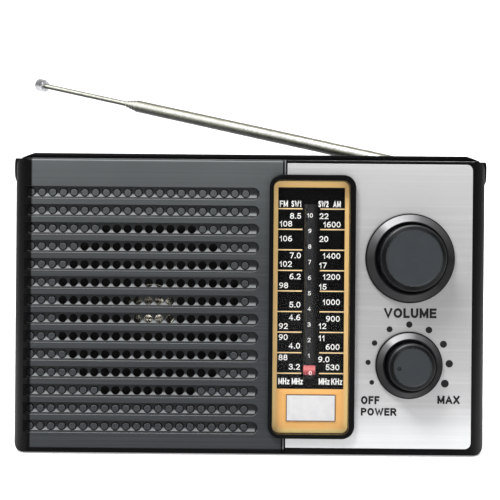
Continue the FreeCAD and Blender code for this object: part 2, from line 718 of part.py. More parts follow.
def dial_drum():
    """The cord drum: a grooved rim on a web and hub."""
    body = new_body("dial_drum")
    groove = "(drum_radius - cord_radius)"
    turned(body, "dial_drum_half", [
        (3.05, -25), (5, -25), (5, -22.8), ("drum_radius - 3", -22.8), ("drum_radius - 3", -23.8),
        ("drum_radius + 1", -23.8), ("drum_radius + 1", -23), (groove, -22.4), (groove, -21.6),
        ("drum_radius + 1", -21), ("drum_radius + 1", -20.2), ("drum_radius - 3", -20.2),
        ("drum_radius - 3", -21.2), (5, -21.2), (5, -19), (3.05, -19)])
    window = front_sketch(body, "drum_window", -24)
    circle(window, 11.5, 0, 4.5)
    first = pocket(body, window, 4)
    repeat_round(body, first, "drum_windows", 5)
    return keep(body, "dial_drum", x="drum_x", z="drum_z")


def capacitor_shaft():
    """The capacitor's rotor shaft, which carries the drum."""
    body = new_body("capacitor_shaft")
    turned(body, "capacitor_shaft_half", [
        (0, -25.6), (3, -25.6), (3, -10.2), (2, -10.2), (2, -6), (0, -6)])
    return keep(body, "capacitor_shaft", x="drum_x", z="drum_z")


def tuning_capacitor():
    """The tuning capacitor's square case, open at the front for its rotor shaft."""
    body = new_body("tuning_capacitor")
    face = front_sketch(body, "capacitor_face", 8)
    rounded(face, -12.5, -12.5, 12.5, 12.5, 1.2)
    pad(body, face, 18)
    bore = front_sketch(body, "capacitor_bore", -11)
    circle(bore, 0, 0, 2.1)
    pocket(body, bore, 7)
    return keep(body, "tuning_capacitor", x="drum_x", z="drum_z")


def cord_wheel(name, z):
    body = new_body(name)
    groove = "(pulley_radius - cord_radius)"
    turned(body, name + "_half", [
        (1.1, -23.2), ("pulley_radius + 0.6", -23.2), (groove, -22.4), (groove, -21.6),
        ("pulley_radius + 0.6", -20.8), (1.1, -20.8)])
    return keep(body, name, x="pulley_x", z=z)


def pulley_pins():
    """The two riveted pins on which the cord pulleys turn."""
    pins = []
    for name, z in (("low", "pulley_low"), ("high", "pulley_high")):
        head = cylinder(f"pin_head_{name}", 1.8, 0.7, "pulley_x", -24, z, (0, 1, 0))
        stem = cylinder(f"pin_stem_{name}", 1, 6.6, "pulley_x", -23.6, z, (0, 1, 0))
        pins.append(fused(f"pulley_pin_{name}", head, stem))
    return keep(group("pulley_pins", pins), "pulley_pins")


def dial_bracket():
    """The sheet bracket behind the dial that carries the pulley pins on two stand-off feet."""
    body = new_body("dial_bracket")
    web = side_sketch(body, "bracket_web", 20)
    outline(web, [
        (-29.3, 3.4), (-28.3, 3.4), (-28.3, 4.8), (-16, 4.8), (-16, 122.2), (-28.3, 122.2),
        (-28.3, 123.6), (-29.3, 123.6), (-29.3, 121.2), (-17, 121.2), (-17, 5.8), (-29.3, 5.8)])
    pad(body, web, 14)
    return keep(body, "dial_bracket")


def cord_circles():
    """Wheel centres and cord radii in the order that the cord meets them, clockwise from the front."""
    return [(Vector(size(x), 0, size(z)), size(radius)) for x, z, radius in (
        ("pulley_x", "pulley_low", "pulley_radius"), ("pulley_x", "pulley_high", "pulley_radius"),
        ("tune_x", "tune_z", "spindle"), ("drum_x", "drum_z", "drum_radius"))]


def dial_cord():
    """The endless cord that links the spindle, drum, pulleys and pointer: tangents and wraps."""
    wheels = cord_circles()
    tangents = []
    for index, (centre, radius) in enumerate(wheels):
        other, other_radius = wheels[(index + 1) % len(wheels)]
        along = other - centre
        tilt = math.asin((radius - other_radius) / along.Length)
        heading = math.atan2(along.z, along.x) + math.pi / 2 - tilt
        out = Vector(math.cos(heading), 0, math.sin(heading))
        tangents.append((centre + out * radius, other + out * other_radius, out))
    plane = Vector(0, size("cord_y"), 0)
    edges = []
    for index, (centre, radius) in enumerate(wheels):
        arriving, leaving = tangents[index - 1], tangents[index]
        middle = centre + (arriving[2] + leaving[2]).normalize() * radius
        edges.append(Part.Arc(arriving[1] + plane, middle + plane, leaving[0] + plane).toShape())
        edges.append(Part.makeLine(leaving[0] + plane, leaving[1] + plane))
    path = Part.Wire(edges)
    start = tangents[0][0] + plane
    section = Part.Wire(Part.makeCircle(size("cord_radius"), start, tangents[0][1] - tangents[0][0]))
    cord = doc.addObject("Part::Feature", "cord")
    cord.Shape = path.makePipeShell([section], True, True)
    return keep(cord, "dial_cord")


# ---------------------------------------------------------------- volume control
def volume_shaft():
    body = new_body("volume_shaft")
    turned(body, "volume_shaft_half", [
        (0, -39.5), ("shaft_radius", -39.5), ("shaft_radius", -21.5), (0, -21.5)])
    return keep(body, "volume_shaft", x="volume_x", z="volume_z")


def volume_potentiometer():
    """The volume control behind the wall: a threaded neck in the wall and a round can."""
    body = new_body("volume_potentiometer")
    turned(body, "potentiometer_half", [
        ("shaft_radius + running", -31.6), ("neck_radius", -31.6), ("neck_radius", -29.4), (8.2, -29.4),
        (8.2, -18), (0, -18),
        (0, -20.8), ("shaft_radius + running", -20.8)])
    tags = plan_sketch(body, "potentiometer_tags", -11.5)
    for x in (-4, 0, 4):
        rectangle(tags, x - 0.8, -19.5, x + 0.8, -19)
    pad(body, tags, 5)
    return keep(body, "volume_potentiometer", x="volume_x", z="volume_z")


# ---------------------------------------------------------------- loudspeaker
def speaker_part(name, corners):
    """A turned loudspeaker piece on the speaker's axis."""
    body = new_body(name)
    turned(body, name + "_half", corners)
    return keep(body, name, x="speaker_x", z="speaker_z")


def speaker_frame():
    """The pressed basket: a flat rim, a cone with windows and a ring that holds the magnet."""
    body = new_body("speaker_frame")
    turned(body, "speaker_frame_half", [
        (45.6, -29.4), ("speaker_radius", -29.4), ("speaker_radius", -28.4), (46.6, -28.4),
        (46.6, -25.6), (42.6, -22), (24, -10.4), (24, -7.1), (12, -7.1), (12, -8.1), (23, -8.1),
        (23, -11), (41.8, -22.8), (45.6, -26)])
    window = front_sketch(body, "basket_window", -30)
    rounded(window, 27, -9, 39, 9, 3)
    first = pocket(body, window, 30)
    repeat_round(body, first, "basket_windows", 6)
    return keep(body, "speaker_frame", x="speaker_x", z="speaker_z")


def loudspeaker():
    """The basket, the paper cone with its roll surround, the dust cap, the coil and the magnet."""
    speaker_frame()
    speaker_part("speaker_cone", [
        (10.3, -12), (11, -12.3), (38.6, -25.8), (40.4, -26.6, 1.8), (43.6, -26.6), (44.4, -26.4),
        (44.3, -26), (43.3, -26.1, -1.5), (40.7, -26.1), (38.4, -25.2), (10.3, -11.4)])
    speaker_part("voice_coil", [(9.4, -11.8), (10.1, -11.8), (10.1, -2), (9.4, -2)])
    speaker_part("dust_cap", [
        (0, -17, dome(10.4, 4.2)), (10.4, -12.8), (10.8, -12.7), (10.6, -12.3),
        (10.2, -12.4, f"-{dome(10.2, 4.2)}"), (0, -16.6)])
    speaker_part("speaker_magnet", [
        (0, -8), (8.9, -8), (8.9, 1), (10.6, 1), (10.6, -7), ("magnet_radius", -7),
        ("magnet_radius", 10), (0, 10)])


def speaker_clips():
    """Four plates that hold the loudspeaker's rim against the front wall."""
    plates = []
    for number, (x, z) in enumerate(speaker_corners()):
        plate = cylinder(f"clip_plate_{number}", 5, "clip_thick", x, f"2.6 + {INSIDE}", z, (0, 1, 0))
        hole = cylinder(f"clip_hole_{number}", 1.4, 4, x, f"1 + {INSIDE}", z, (0, 1, 0))
        plates.append(cut(f"clip_{number}", plate, hole))
    return keep(group("speaker_clips", plates), "speaker_clips")


def headed_screws(name, places, head_y, length, toward):
    """Pan-head screws along Y: toward is +1 when the shank runs to the back, -1 to the front."""
    screws = []
    for number, (x, z) in enumerate(places):
        shank = cylinder(f"{name}_shank_{number}", 1.1, length, x, head_y, z, (0, toward, 0))
        head = cylinder(f"{name}_head_{number}", 2.3, 1.5, x, head_y, z, (0, -toward, 0))
        screws.append(fused(f"{name}_{number}", shank, head))
    return keep(group(name, screws), name)


# ---------------------------------------------------------------- board and its parts
def main_board():
    """The circuit board behind the tuning gang, on four posts."""
    body = new_body("main_board")
    face = front_sketch(body, "board_face", "board_y")
    rounded(face, -17, 41.5, 89.4, 121, 1.5)
    pad(body, face, "board_thick", reverse=True)
    holes = front_sketch(body, "board_holes", "board_y - 0.2")
    for x, z in BOARD_HOLES:
        circle(holes, x, z, 1.3)
    pocket(body, holes, "board_thick * 2")
    return keep(body, "main_board")


def tuned_coil_cans():
    """Square screening cans on the front of the board."""
    places = [(66, 96), (78, 96), (66, 56), (78, 56), (66, 70)]
    cans = [block(f"coil_can_{number}", 8, 12, 8, x, "board_y - 12.1", z)
            for number, (x, z) in enumerate(places)]
    return keep(group("tuned_coil_cans", cans), "tuned_coil_cans")


def board_capacitors():
    """Upright electrolytic capacitors on the front of the board."""
    places = [(4, 50, 5), (18, 50, 4), (28, 62, 4), (4, 92, 4), (16, 84, 5)]
    cans = [cylinder(f"electrolytic_{number}", radius, 14, x, "board_y - 14.1", z, (0, 1, 0))
            for number, (x, z, radius) in enumerate(places)]
    return keep(group("board_capacitors", cans), "board_capacitors")


def ferrite_aerial():
    """The ferrite rod along the top, its two coils, and the holders that carry it off the board."""
    rod = cylinder("ferrite", "ferrite_radius", "ferrite_length", "ferrite_start", 0, "ferrite_z", (1, 0, 0))
    keep(rod, "ferrite_rod")
    coils = []
    for number, (start, length) in enumerate([(-66, 24), (14, 16)]):
        at = (start, 0, "ferrite_z", (1, 0, 0))
        outer = cylinder(f"coil_outer_{number}", "ferrite_radius + 1.3", length, *at)
        inner = cylinder(f"coil_inner_{number}", "ferrite_radius + fit", length, *at)
        coils.append(cut(f"coil_{number}", outer, inner))
    keep(group("ferrite_coils", coils), "ferrite_coils")
    holders = []
    for number, start in enumerate((-4, 34)):
        saddle = block(f"saddle_{number}", 5, 14.8, 10, start, -6.8, "ferrite_z - 5")
        bore_at = (start - 1, 0, "ferrite_z", (1, 0, 0))
        bore = cylinder(f"saddle_bore_{number}", "ferrite_radius + fit", 7, *bore_at)
        holders.append(cut(f"holder_{number}", saddle, bore))
    keep(group("ferrite_holders", holders), "ferrite_holders")


def band_switch():
    """The slide switch inside the right wall and the ridged knob on its stem outside."""
    body = new_body("band_switch")
    case = side_sketch(body, "switch_case", "case_width / 2 - wall - 2.2")
    rounded(case, "switch_y - 7", "switch_z - 15", "switch_y + 7", "switch_z + 15", 1)
    pad(body, case, 9, reverse=True)
    track = side_sketch(body, "switch_track", "case_width / 2 - wall - 2.2")
    rectangle(track, "switch_y - 1.7", "switch_z - 10", "switch_y + 1.7", "switch_z + 10")
    pocket(body, track, 4)
    keep(body, "band_switch")
    knob = new_body("band_switch_knob")
    cap = side_sketch(knob, "band_cap", "0.3")
    rounded(cap, -4.5, -5, 4.5, 5, 1)
    pad(knob, cap, 2.6)
    ridge = side_sketch(knob, "band_ridge", "2.9")
    rectangle(ridge, -5, -3.8, 5, -3)
    first = pocket(knob, ridge, 0.7)
    repeat_line(knob, first, ridge, "V_Axis", 2, 4)
    stem = side_sketch(knob, "band_stem", "0.3")
    rectangle(stem, -1.2, -2, 1.2, 2)
    pad(knob, stem, 8, reverse=True)
    keep(knob, "band_switch_knob", x="case_width / 2", y="switch_y", z="switch_z - switch_throw / 2")


def sockets():
    """The earphone socket and the outside supply socket, drawn inward from the left wall's face."""
    earphone = new_body("earphone_socket")
    turned_along_x(earphone, "earphone_half", [
        (-0.3, 1.8), (-0.3, 3.5), (4.6, 3.5), (4.6, 5), (16, 5), (16, 0), (14.5, 0), (14.5, 1.8)])
    keep(earphone, "earphone_socket", x="-(case_width / 2)", y="socket_y", z="earphone_z")
    supply = new_body("supply_socket")
    turned_along_x(supply, "supply_half", [
        (-0.3, 2.9), (-0.3, 4.5), (4.6, 4.5), (4.6, 6), (14, 6), (14, 0), (1.5, 0), (1.5, 0.9),
        (12, 0.9), (12, 2.9)])
    keep(supply, "supply_socket", x="-(case_width / 2)", y="socket_y", z="supply_z")


# ---------------------------------------------------------------- battery bay
def battery_cells():
    """Three round cells in a row, each a can with a raised contact at one end."""
    body = new_body("battery_cells")
    turned_along_x(body, "cell_half", [
        (0, 0), (0, "cell_radius - 0.6"), (0.6, "cell_radius"), ("cell_length - 2", "cell_radius"),
        ("cell_length - 1.4", "cell_radius - 0.6"), ("cell_length - 1.4", 4.7), ("cell_length - 0.1", 4.7),
        ("cell_length - 0.1", 0)])
    doc.recompute()
    first = body.Tip
    repeat_line(body, first, first.Profile[0], "H_Axis", "cell_length", 3)
    return keep(body, "battery_cells", x="-(cell_length * 1.5)", y="cell_y", z="cell_z")


def battery_tray():
    """The curved wall between the cells and the works, with an end plate at each side."""
    body = new_body("battery_tray")
    inner, outer = "(cell_radius + 0.4)", "(cell_radius + 1.5)"
    wall = side_sketch(body, "tray_wall")
    outline(wall, [
        (f"cell_y + {outer} * cos(30)", f"cell_z + {outer} * sin(30)", outer),
        (f"cell_y - {outer} * sin(30)", f"cell_z + {outer} * cos(30)", outer),
        (f"cell_y - {outer}", "cell_z"), (f"cell_y - {outer}", "wall + 0.3"),
        (f"cell_y - {inner}", "wall + 0.3"), (f"cell_y - {inner}", "cell_z", f"-{inner}"),
        (f"cell_y - {inner} * sin(30)", f"cell_z + {inner} * cos(30)", f"-{inner}"),
        (f"cell_y + {inner} * cos(30)", f"cell_z + {inner} * sin(30)")])
    pad(body, wall, "cell_length * 3 + 0.6", symmetric=True)
    return keep(body, "battery_tray")


def battery_contacts():
    """The coil spring at one end of the cells and the flat contact plate at the other."""
    end = "(cell_length * 1.5)"
    path = Part.makeHelix(1.2, 3.6, size("cell_radius") * 0.42)
    start = Vector(size("cell_radius") * 0.42, 0, 0)
    section = Part.Wire(Part.makeCircle(0.4, start, Vector(0, 1, 0.05)))
    coil = Part.Wire(path.Edges).makePipeShell([section], True, True)
    spring = doc.addObject("Part::Feature", "spring")
    spring.Shape = coil
    spring.Placement = Placement(Vector(0, 0, 0), Rotation(Vector(0, 0, 1), Vector(-1, 0, 0)))
    keep(spring, "battery_spring", x=f"-{end} - 0.6", y="cell_y", z="cell_z")
    plates = [block("plate_left", 0.4, 16, 16, f"-{end} - 5.9", "cell_y - 8", "cell_z - 8"),
              block("plate_right", 0.4, 16, 16, f"{end} + 0.2", "cell_y - 8", "cell_z - 8")]
    keep(group("battery_plates", plates), "battery_plates")


def battery_door():
    """The door in the back: rounded pivot edge with two end pegs, and a thumb notch at the top."""
    body = new_body("battery_door")
    half, edge = "(door_thick / 2)", "door_thick / 2"
    profile = side_sketch(body, "door_profile")
    outline(profile, [
        (f"-{half}", 0), (f"-{half}", f"door_high - door_low - {edge}"),
        (half, f"door_high - door_low - {edge}"), (half, 0, f"-{half}"), (0, f"-{half}", f"-{half}")])
    pad(body, profile, "door_half * 2", symmetric=True)
    pegs = side_sketch(body, "door_pegs")
    circle(pegs, 0, 0, 0.65)
    pad(body, pegs, "door_half * 2 + 3.4", symmetric=True)
    notch = front_sketch(body, "thumb_notch", half)
    stadium(notch, -14, 24, 14, 28)
    pocket(body, notch, 1, reverse=True)
    return keep(body, "battery_door", y="case_depth / 2 - door_thick / 2", z="door_low + door_thick / 2")


# ---------------------------------------------------------------- handle
def handle_grip():
    """The folding carrying handle: a flat grip with sloping corners and an arm down each side."""
    body = new_body("handle")
    bar = front_sketch(body, "handle_bar", "grip_back")
    outline(bar, [
        ("-(arm_outer)", 118), ("-(arm_inner)", 118), ("-(arm_inner)", "grip_low - 3"),
        ("-(arm_inner) + 3", "grip_low"), ("arm_inner - 3", "grip_low"), ("arm_inner", "grip_low - 3"),
        ("arm_inner", 118), ("arm_outer", 118), ("arm_outer", "grip_high - 2.4"),
        ("arm_outer - 6", "grip_high"), ("6 - arm_outer", "grip_high"), ("-(arm_outer)", "grip_high - 2.4")])
    pad(body, bar, "grip_back - grip_front")
    doc.recompute()
    soften(body, "grip_edges", 1.6, lambda edge: spans(edge, "x") > 150)
    return body


def add_handle_arms(body):
    """Arms from the pivots to the grip, drilled for the pivot screws."""
    for side, name in ((1, "right"), (-1, "left")):
        start = "arm_inner" if side > 0 else "-(arm_outer)"
        arm = side_sketch(body, f"arm_{name}", start)
        outline(arm, [
            ("pivot_y", "pivot_z - ear"), ("grip_back - 4", "grip_low - 8"), ("grip_back", "grip_low - 4"),
            ("grip_back", "grip_high - 4"), ("grip_front + 2", "grip_high - 4"),
            ("pivot_y - ear + 3", "grip_high - 4", 3), ("pivot_y - ear", "grip_high - 7"),
            ("pivot_y - ear", "pivot_z", "ear")])
        pad(body, arm, "arm_outer - arm_inner")
    for side, name in ((1, "right"), (-1, "left")):
        hole = side_sketch(body, f"arm_hole_{name}", f"{side} * (arm_outer + 1)")
        circle(hole, "pivot_y", "pivot_z", "pin_radius + 0.08")
        pocket(body, hole, 8, reverse=side < 0)
        sink = side_sketch(body, f"arm_sink_{name}", f"{side} * arm_outer")
        circle(sink, "pivot_y", "pivot_z", 3.2)
        pocket(body, sink, 1.6, reverse=side < 0)
    return keep(body, "handle")


def handle_pins():
    """The two shouldered screws on which the handle folds."""
    pins = []
    for side, name in ((1, "right"), (-1, "left")):
        outer = f"{side} * (arm_outer - 0.1)"
        head = cylinder(f"pin_cap_{name}", 3, 1.4, outer, "pivot_y", "pivot_z", (-side, 0, 0))
        stem = cylinder(f"pin_rod_{name}", "pin_radius", 8.4, outer, "pivot_y", "pivot_z", (-side, 0, 0))
        pins.append(fused(f"handle_pin_{name}", head, stem))
    return keep(group("handle_pins", pins), "handle_pins")


# ---------------------------------------------------------------- telescopic antenna
def aerial_piece(item, name):
    """Place a piece drawn along +X from the elbow at the antenna's azimuth and rise."""
    return keep(item, name, x="aerial_x", y="aerial_y", z="elbow_z", yaw="aerial_yaw",
                pitch="-(aerial_rise)")


def antenna_base():
    """The swivel: a peg through the ledge, a disc and a fork for the elbow."""
    body = new_body("antenna_base")
    disc = plan_sketch(body, "swivel_disc", "case_height - ledge_drop + 0.15 - elbow_z")
    circle(disc, 0, 0, 4.2)
    pad(body, disc, 1.4)
    peg = plan_sketch(body, "swivel_peg", "case_height - ledge_drop + 0.15 - elbow_z")
    circle(peg, 0, 0, "peg_radius")
    pad(body, peg, 4.5, reverse=True)
    fork = front_sketch(body, "fork_cheeks")
    outline(fork, [
        (-3, "case_height - ledge_drop + 1 - elbow_z"), (3, "case_height - ledge_drop + 1 - elbow_z"),
        (3, 0, 3), (0, 3, 3), (-3, 0)])
    pad(body, fork, 5.8, symmetric=True)
    gap = front_sketch(body, "fork_gap")
    rectangle(gap, -5, -3.6, 5, 4)
    pocket(body, gap, 2.9, symmetric=True)
    eye = front_sketch(body, "fork_eye")
    circle(eye, 0, 0, 1)
    pocket(body, eye, 8, symmetric=True)
    return keep(body, "antenna_base", x="aerial_x", y="aerial_y", z="elbow_z", yaw="aerial_yaw")


def antenna_pin():
    """The rivet across the fork."""
    body = new_body("antenna_pin")
    turned(body, "rivet_half", [
        (0, -3.5), (1.3, -3.5), (1.6, -3.2), (1.6, -2.95), (0.9, -2.95), (0.9, 2.95), (1.6, 2.95),
        (1.6, 3.2), (1.3, 3.5), (0, 3.5)])
    return keep(body, "antenna_pin", x="aerial_x", y="aerial_y", z="elbow_z", yaw="aerial_yaw")


def section_radius(number):
    return f"(tube_radius - section_step * {number})"


def antenna_knuckle():
    """The flat eye at the foot of the outer tube, between the cheeks of the fork."""
    body = new_body("antenna_knuckle")
    eye = front_sketch(body, "knuckle_eye")
    outline(eye, [(0, -2.9), (8, -2.2), (8, 2.2), (0, 2.9, 2.9), (-2.9, 0, 2.9)])
    pad(body, eye, 2.5, symmetric=True)
    neck = side_sketch(body, "knuckle_neck", 5.5)
    circle(neck, 0, 0, 2.7)
    pad(body, neck, 7)
    hole = front_sketch(body, "knuckle_hole")
    circle(hole, 0, 0, 1)
    pocket(body, hole, 6, symmetric=True)
    return aerial_piece(body, "antenna_knuckle")


def antenna_sections():
    """The outer tube and three nested ones, each showing a short collar beyond the last."""
    for number in range(4):
        name = "antenna_tube" if number == 0 else f"antenna_section_{number + 1}"
        body = new_body(name)
        start = "4.6" if number == 0 else f"(12.8 + {number})"
        end = f"(tube_length + section_show * {number})"
        radius = section_radius(number)
        turned_along_x(body, name + "_half", [
            (start, f"{radius} - section_wall"), (start, radius), (f"{end} - 0.5", radius),
            (end, f"{radius} - 0.3"), (end, f"{radius} - section_wall")])
        aerial_piece(body, name)


def antenna_rod():
    """The thin innermost rod, drawn part of the way out, with its round tip."""
    body = new_body("antenna_rod")
    turned_along_x(body, "antenna_rod_half", [
        ("18 + rod_out", 0), ("18 + rod_out", "rod_radius"), ("tube_length + rod_out + 4", "rod_radius"),
        ("tube_length + rod_out + 4", 0)])
    aerial_piece(body, "antenna_rod")
    tip = new_body("antenna_tip")
    start = "(tube_length + rod_out + 4.05)"
    turned_along_x(tip, "antenna_tip_half", [
        (start, 0), (start, "cap_radius - 0.6"), (f"{start} + 0.6", "cap_radius"),
        (f"{start} + cap_length - 1.5", "cap_radius", "-1.5"),
        (f"{start} + cap_length", "cap_radius - 1.5"), (f"{start} + cap_length", 0)])
    aerial_piece(tip, "antenna_tip")


# ---------------------------------------------------------------- build and write
def check_document():
    """Stop if any object failed or any sub-part has no sound shape."""
    for item in doc.Objects:
        if {"Invalid", "Error"} & set(item.State):
            raise ValueError(f"{item.Label} did not recompute: {item.State}")
    for item in subparts:
        if item.Shape.isNull() or not item.Shape.isValid() or item.Shape.Volume <= 0:
            raise ValueError(f"{item.Label} has no valid shape")


def write_parts():
    os.makedirs("parts", exist_ok=True)
    for item in subparts:
        item.Shape.exportStep(f"parts/{item.Label}.step")


fill_sheet()
front_case()
rear_case()
face_plate()
dial_surround()
dial_scale()
keep(dial_panel("dial_lens", "lens_y", "lens_thick", 0.12), "dial_lens")
badge()
dial_pointer()
tuning_knob()
tuning_shaft()
tuning_bushing()
dial_drum()
capacitor_shaft()
tuning_capacitor()
cord_wheel("lower_cord_pulley", "pulley_low")
cord_wheel("upper_cord_pulley", "pulley_high")
pulley_pins()
dial_bracket()
dial_cord()
volume_knob()
volume_shaft()
volume_potentiometer()
loudspeaker()
speaker_clips()
headed_screws("speaker_screws", speaker_corners(), f"3.7 + {INSIDE}", 3.5, -1)
main_board()
headed_screws("board_screws", BOARD_HOLES, 8.1, 12, 1)
tuned_coil_cans()
board_capacitors()
ferrite_aerial()
band_switch()
sockets()
battery_cells()
battery_tray()
battery_contacts()
battery_door()
add_handle_arms(handle_grip())
handle_pins()
antenna_base()
antenna_pin()
antenna_knuckle()
antenna_sections()
antenna_rod()
headed_screws("case_screws", POSTS, 6, 20, -1)
doc.recompute()
check_document()
write_parts()
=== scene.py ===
import math

import bmesh
import bpy
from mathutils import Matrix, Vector


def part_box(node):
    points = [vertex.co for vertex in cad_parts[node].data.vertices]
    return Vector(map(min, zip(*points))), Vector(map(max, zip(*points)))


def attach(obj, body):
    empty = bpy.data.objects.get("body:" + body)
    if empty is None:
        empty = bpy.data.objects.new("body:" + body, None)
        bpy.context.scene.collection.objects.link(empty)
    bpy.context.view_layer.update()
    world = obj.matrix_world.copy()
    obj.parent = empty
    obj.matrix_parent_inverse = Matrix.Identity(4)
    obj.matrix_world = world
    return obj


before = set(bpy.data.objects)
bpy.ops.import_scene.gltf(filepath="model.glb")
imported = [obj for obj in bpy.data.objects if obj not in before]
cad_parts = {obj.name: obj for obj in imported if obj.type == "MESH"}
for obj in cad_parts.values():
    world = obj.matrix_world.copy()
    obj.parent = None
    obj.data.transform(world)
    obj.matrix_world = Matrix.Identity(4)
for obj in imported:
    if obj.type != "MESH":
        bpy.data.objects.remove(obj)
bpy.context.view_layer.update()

MM = 0.001


# ---------------------------------------------------------------- places, read from the frame
def middle(node):
    """The centre of a CAD node's box."""
    low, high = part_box(node)
    return (low + high) / 2


CASE_LOW, CASE_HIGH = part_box("front_case")
FACE_Y = CASE_LOW.y
PLATE_LOW, PLATE_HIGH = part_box("face_plate")
SCALE_LOW, SCALE_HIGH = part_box("dial_scale")
BADGE_LOW, BADGE_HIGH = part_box("badge")
GROOVE_LEFT, RIDGE_LEFT, RIDGE_RIGHT = (PLATE_LOW.x - gap * MM for gap in (2, 1.3, 0.7))
POINTER = middle("dial_pointer")
TUNING = middle("tuning_knob")
VOLUME = middle("volume_knob")
BLACK_LEFT, BLACK_RIGHT = 12.05 * MM, 40.9 * MM
BLACK_LOW, BLACK_HIGH = 28.1 * MM, 115.3 * MM
SLOT_LEFT, CHANNEL_LEFT = 23.5 * MM, 24.7 * MM
CHANNEL_RIGHT, CHANNEL_TOP = 28.9 * MM, 108 * MM


# ---------------------------------------------------------------- node materials
class Finish:
    """A node material under construction: a principled shader and the nodes that feed it."""

    def __init__(self, name, **inputs):
        self.material = bpy.data.materials.new(name)
        self.material.use_nodes = True
        self.nodes = self.material.node_tree.nodes
        self.links = self.material.node_tree.links
        self.shader = self.nodes["Principled BSDF"]
        self.place = self.new("ShaderNodeTexCoord").outputs["Object"]
        self.height = None
        for key, value in inputs.items():
            self.set(key.replace("_", " "), value)

    def new(self, kind, **settings):
        node = self.nodes.new(kind)
        for key, value in settings.items():
            setattr(node, key, value)
        return node

    def set(self, socket, value):
        """Give a shader input a number, a colour or another node's output."""
        target = self.shader.inputs[socket]
        if isinstance(value, bpy.types.NodeSocket):
            self.links.new(value, target)
        else:
            target.default_value = value
        return self

    def feed(self, target, value):
        if isinstance(value, bpy.types.NodeSocket):
            self.links.new(value, target)
        else:
            target.default_value = value

    def stretched(self, stretch):
        """Object coordinates scaled along each axis, for grain that runs one way."""
        mapping = self.new("ShaderNodeMapping")
        self.links.new(self.place, mapping.inputs["Vector"])
        mapping.inputs["Scale"].default_value = stretch
        return mapping.outputs["Vector"]

    def noise(self, per_metre, stretch=(1, 1, 1), detail=4, roughness=0.55):
        node = self.new("ShaderNodeTexNoise")
        self.links.new(self.stretched(stretch), node.inputs["Vector"])
        node.inputs["Scale"].default_value = per_metre
        node.inputs["Detail"].default_value = detail
        node.inputs["Roughness"].default_value = roughness
        return node.outputs["Fac"]

    def spread(self, value, low, high, to_low, to_high):
        """Map a value from one range to another, clamped."""
        node = self.new("ShaderNodeMapRange")
        for key, number in (("From Min", low), ("From Max", high), ("To Min", to_low), ("To Max", to_high)):
            node.inputs[key].default_value = number
        self.feed(node.inputs["Value"], value)
        return node.outputs["Result"]

    def math(self, operation, first, second=0.0, third=0.0):
        node = self.new("ShaderNodeMath", operation=operation)
        for socket, value in zip(node.inputs, (first, second, third)):
            self.feed(socket, value)
        return node.outputs[0]

    def blend(self, first, second, factor):
        """Mix two colours."""
        node = self.new("ShaderNodeMix", data_type="RGBA")
        self.feed(node.inputs["Factor"], factor)
        self.feed(node.inputs[6], first)
        self.feed(node.inputs[7], second)
        return node.outputs[2]

    def ramp(self, value, stops):
        node = self.new("ShaderNodeValToRGB")
        elements = node.color_ramp.elements
        while len(elements) < len(stops):
            elements.new(0.5)
        for element, (position, colour) in zip(elements, stops):
            element.position = position
            element.color = colour
        self.feed(node.inputs["Fac"], value)
        return node.outputs["Color"]

    def axis(self, letter):
        """One object coordinate, in metres."""
        node = self.new("ShaderNodeSeparateXYZ")
        self.links.new(self.place, node.inputs[0])
        return node.outputs[letter]

    def facing(self, letter, radius=0.0):
        """One component of the surface normal, taken as if edges had the given radius."""
        node = self.new("ShaderNodeSeparateXYZ")
        if radius > 0:
            source = self.new("ShaderNodeBevel", samples=6)
            source.inputs["Radius"].default_value = radius
        else:
            source = self.new("ShaderNodeNewGeometry")
        self.links.new(source.outputs["Normal"], node.inputs[0])
        return node.outputs[letter]

    def inside(self, left, low, right, high, soft=0.15 * MM):
        """1 inside an upright rectangle as seen from the front, falling to 0 outside it."""
        across, up = self.axis("X"), self.axis("Z")
        result = self.spread(across, left - soft, left + soft, 0, 1)
        for value, start, end in ((across, right + soft, right - soft), (up, low - soft, low + soft),
                                  (up, high + soft, high - soft)):
            result = self.math("MULTIPLY", result, self.spread(value, start, end, 0, 1))
        return result

    def edges(self, radius=0.35 * MM):
        """0 on flat ground, rising toward 1 on edges, from how far a rounded normal turns away."""
        bevel = self.new("ShaderNodeBevel", samples=4)
        bevel.inputs["Radius"].default_value = radius
        turn = self.new("ShaderNodeVectorMath", operation="DOT_PRODUCT")
        self.links.new(bevel.outputs["Normal"], turn.inputs[0])
        self.links.new(self.new("ShaderNodeNewGeometry").outputs["Normal"], turn.inputs[1])
        return self.spread(turn.outputs["Value"], 0.995, 0.85, 0.0, 1.0)

    def relief(self, height, strength, distance):
        """Add a bump; later ones stack on earlier ones."""
        node = self.new("ShaderNodeBump")
        node.inputs["Strength"].default_value = strength
        node.inputs["Distance"].default_value = distance
        self.feed(node.inputs["Height"], height)
        if self.height is not None:
            self.links.new(self.height, node.inputs["Normal"])
        self.height = node.outputs["Normal"]
        self.set("Normal", self.height)
        return self

    def rounded_edges(self, radius):
        """Shade sharp edges as if they had a small radius."""
        bevel = self.new("ShaderNodeBevel", samples=6)
        bevel.inputs["Radius"].default_value = radius
        self.height = bevel.outputs["Normal"]
        self.set("Normal", self.height)
        return self


def grey(level):
    return (level, level, level, 1)


def tinted(red, green, blue):
    """A display colour, 0 to 255, as the linear colour that shaders use."""
    def linear(value):
        value /= 255
        return value / 12.92 if value <= 0.04045 else ((value + 0.055) / 1.055) ** 2.4
    return (linear(red), linear(green), linear(blue), 1)


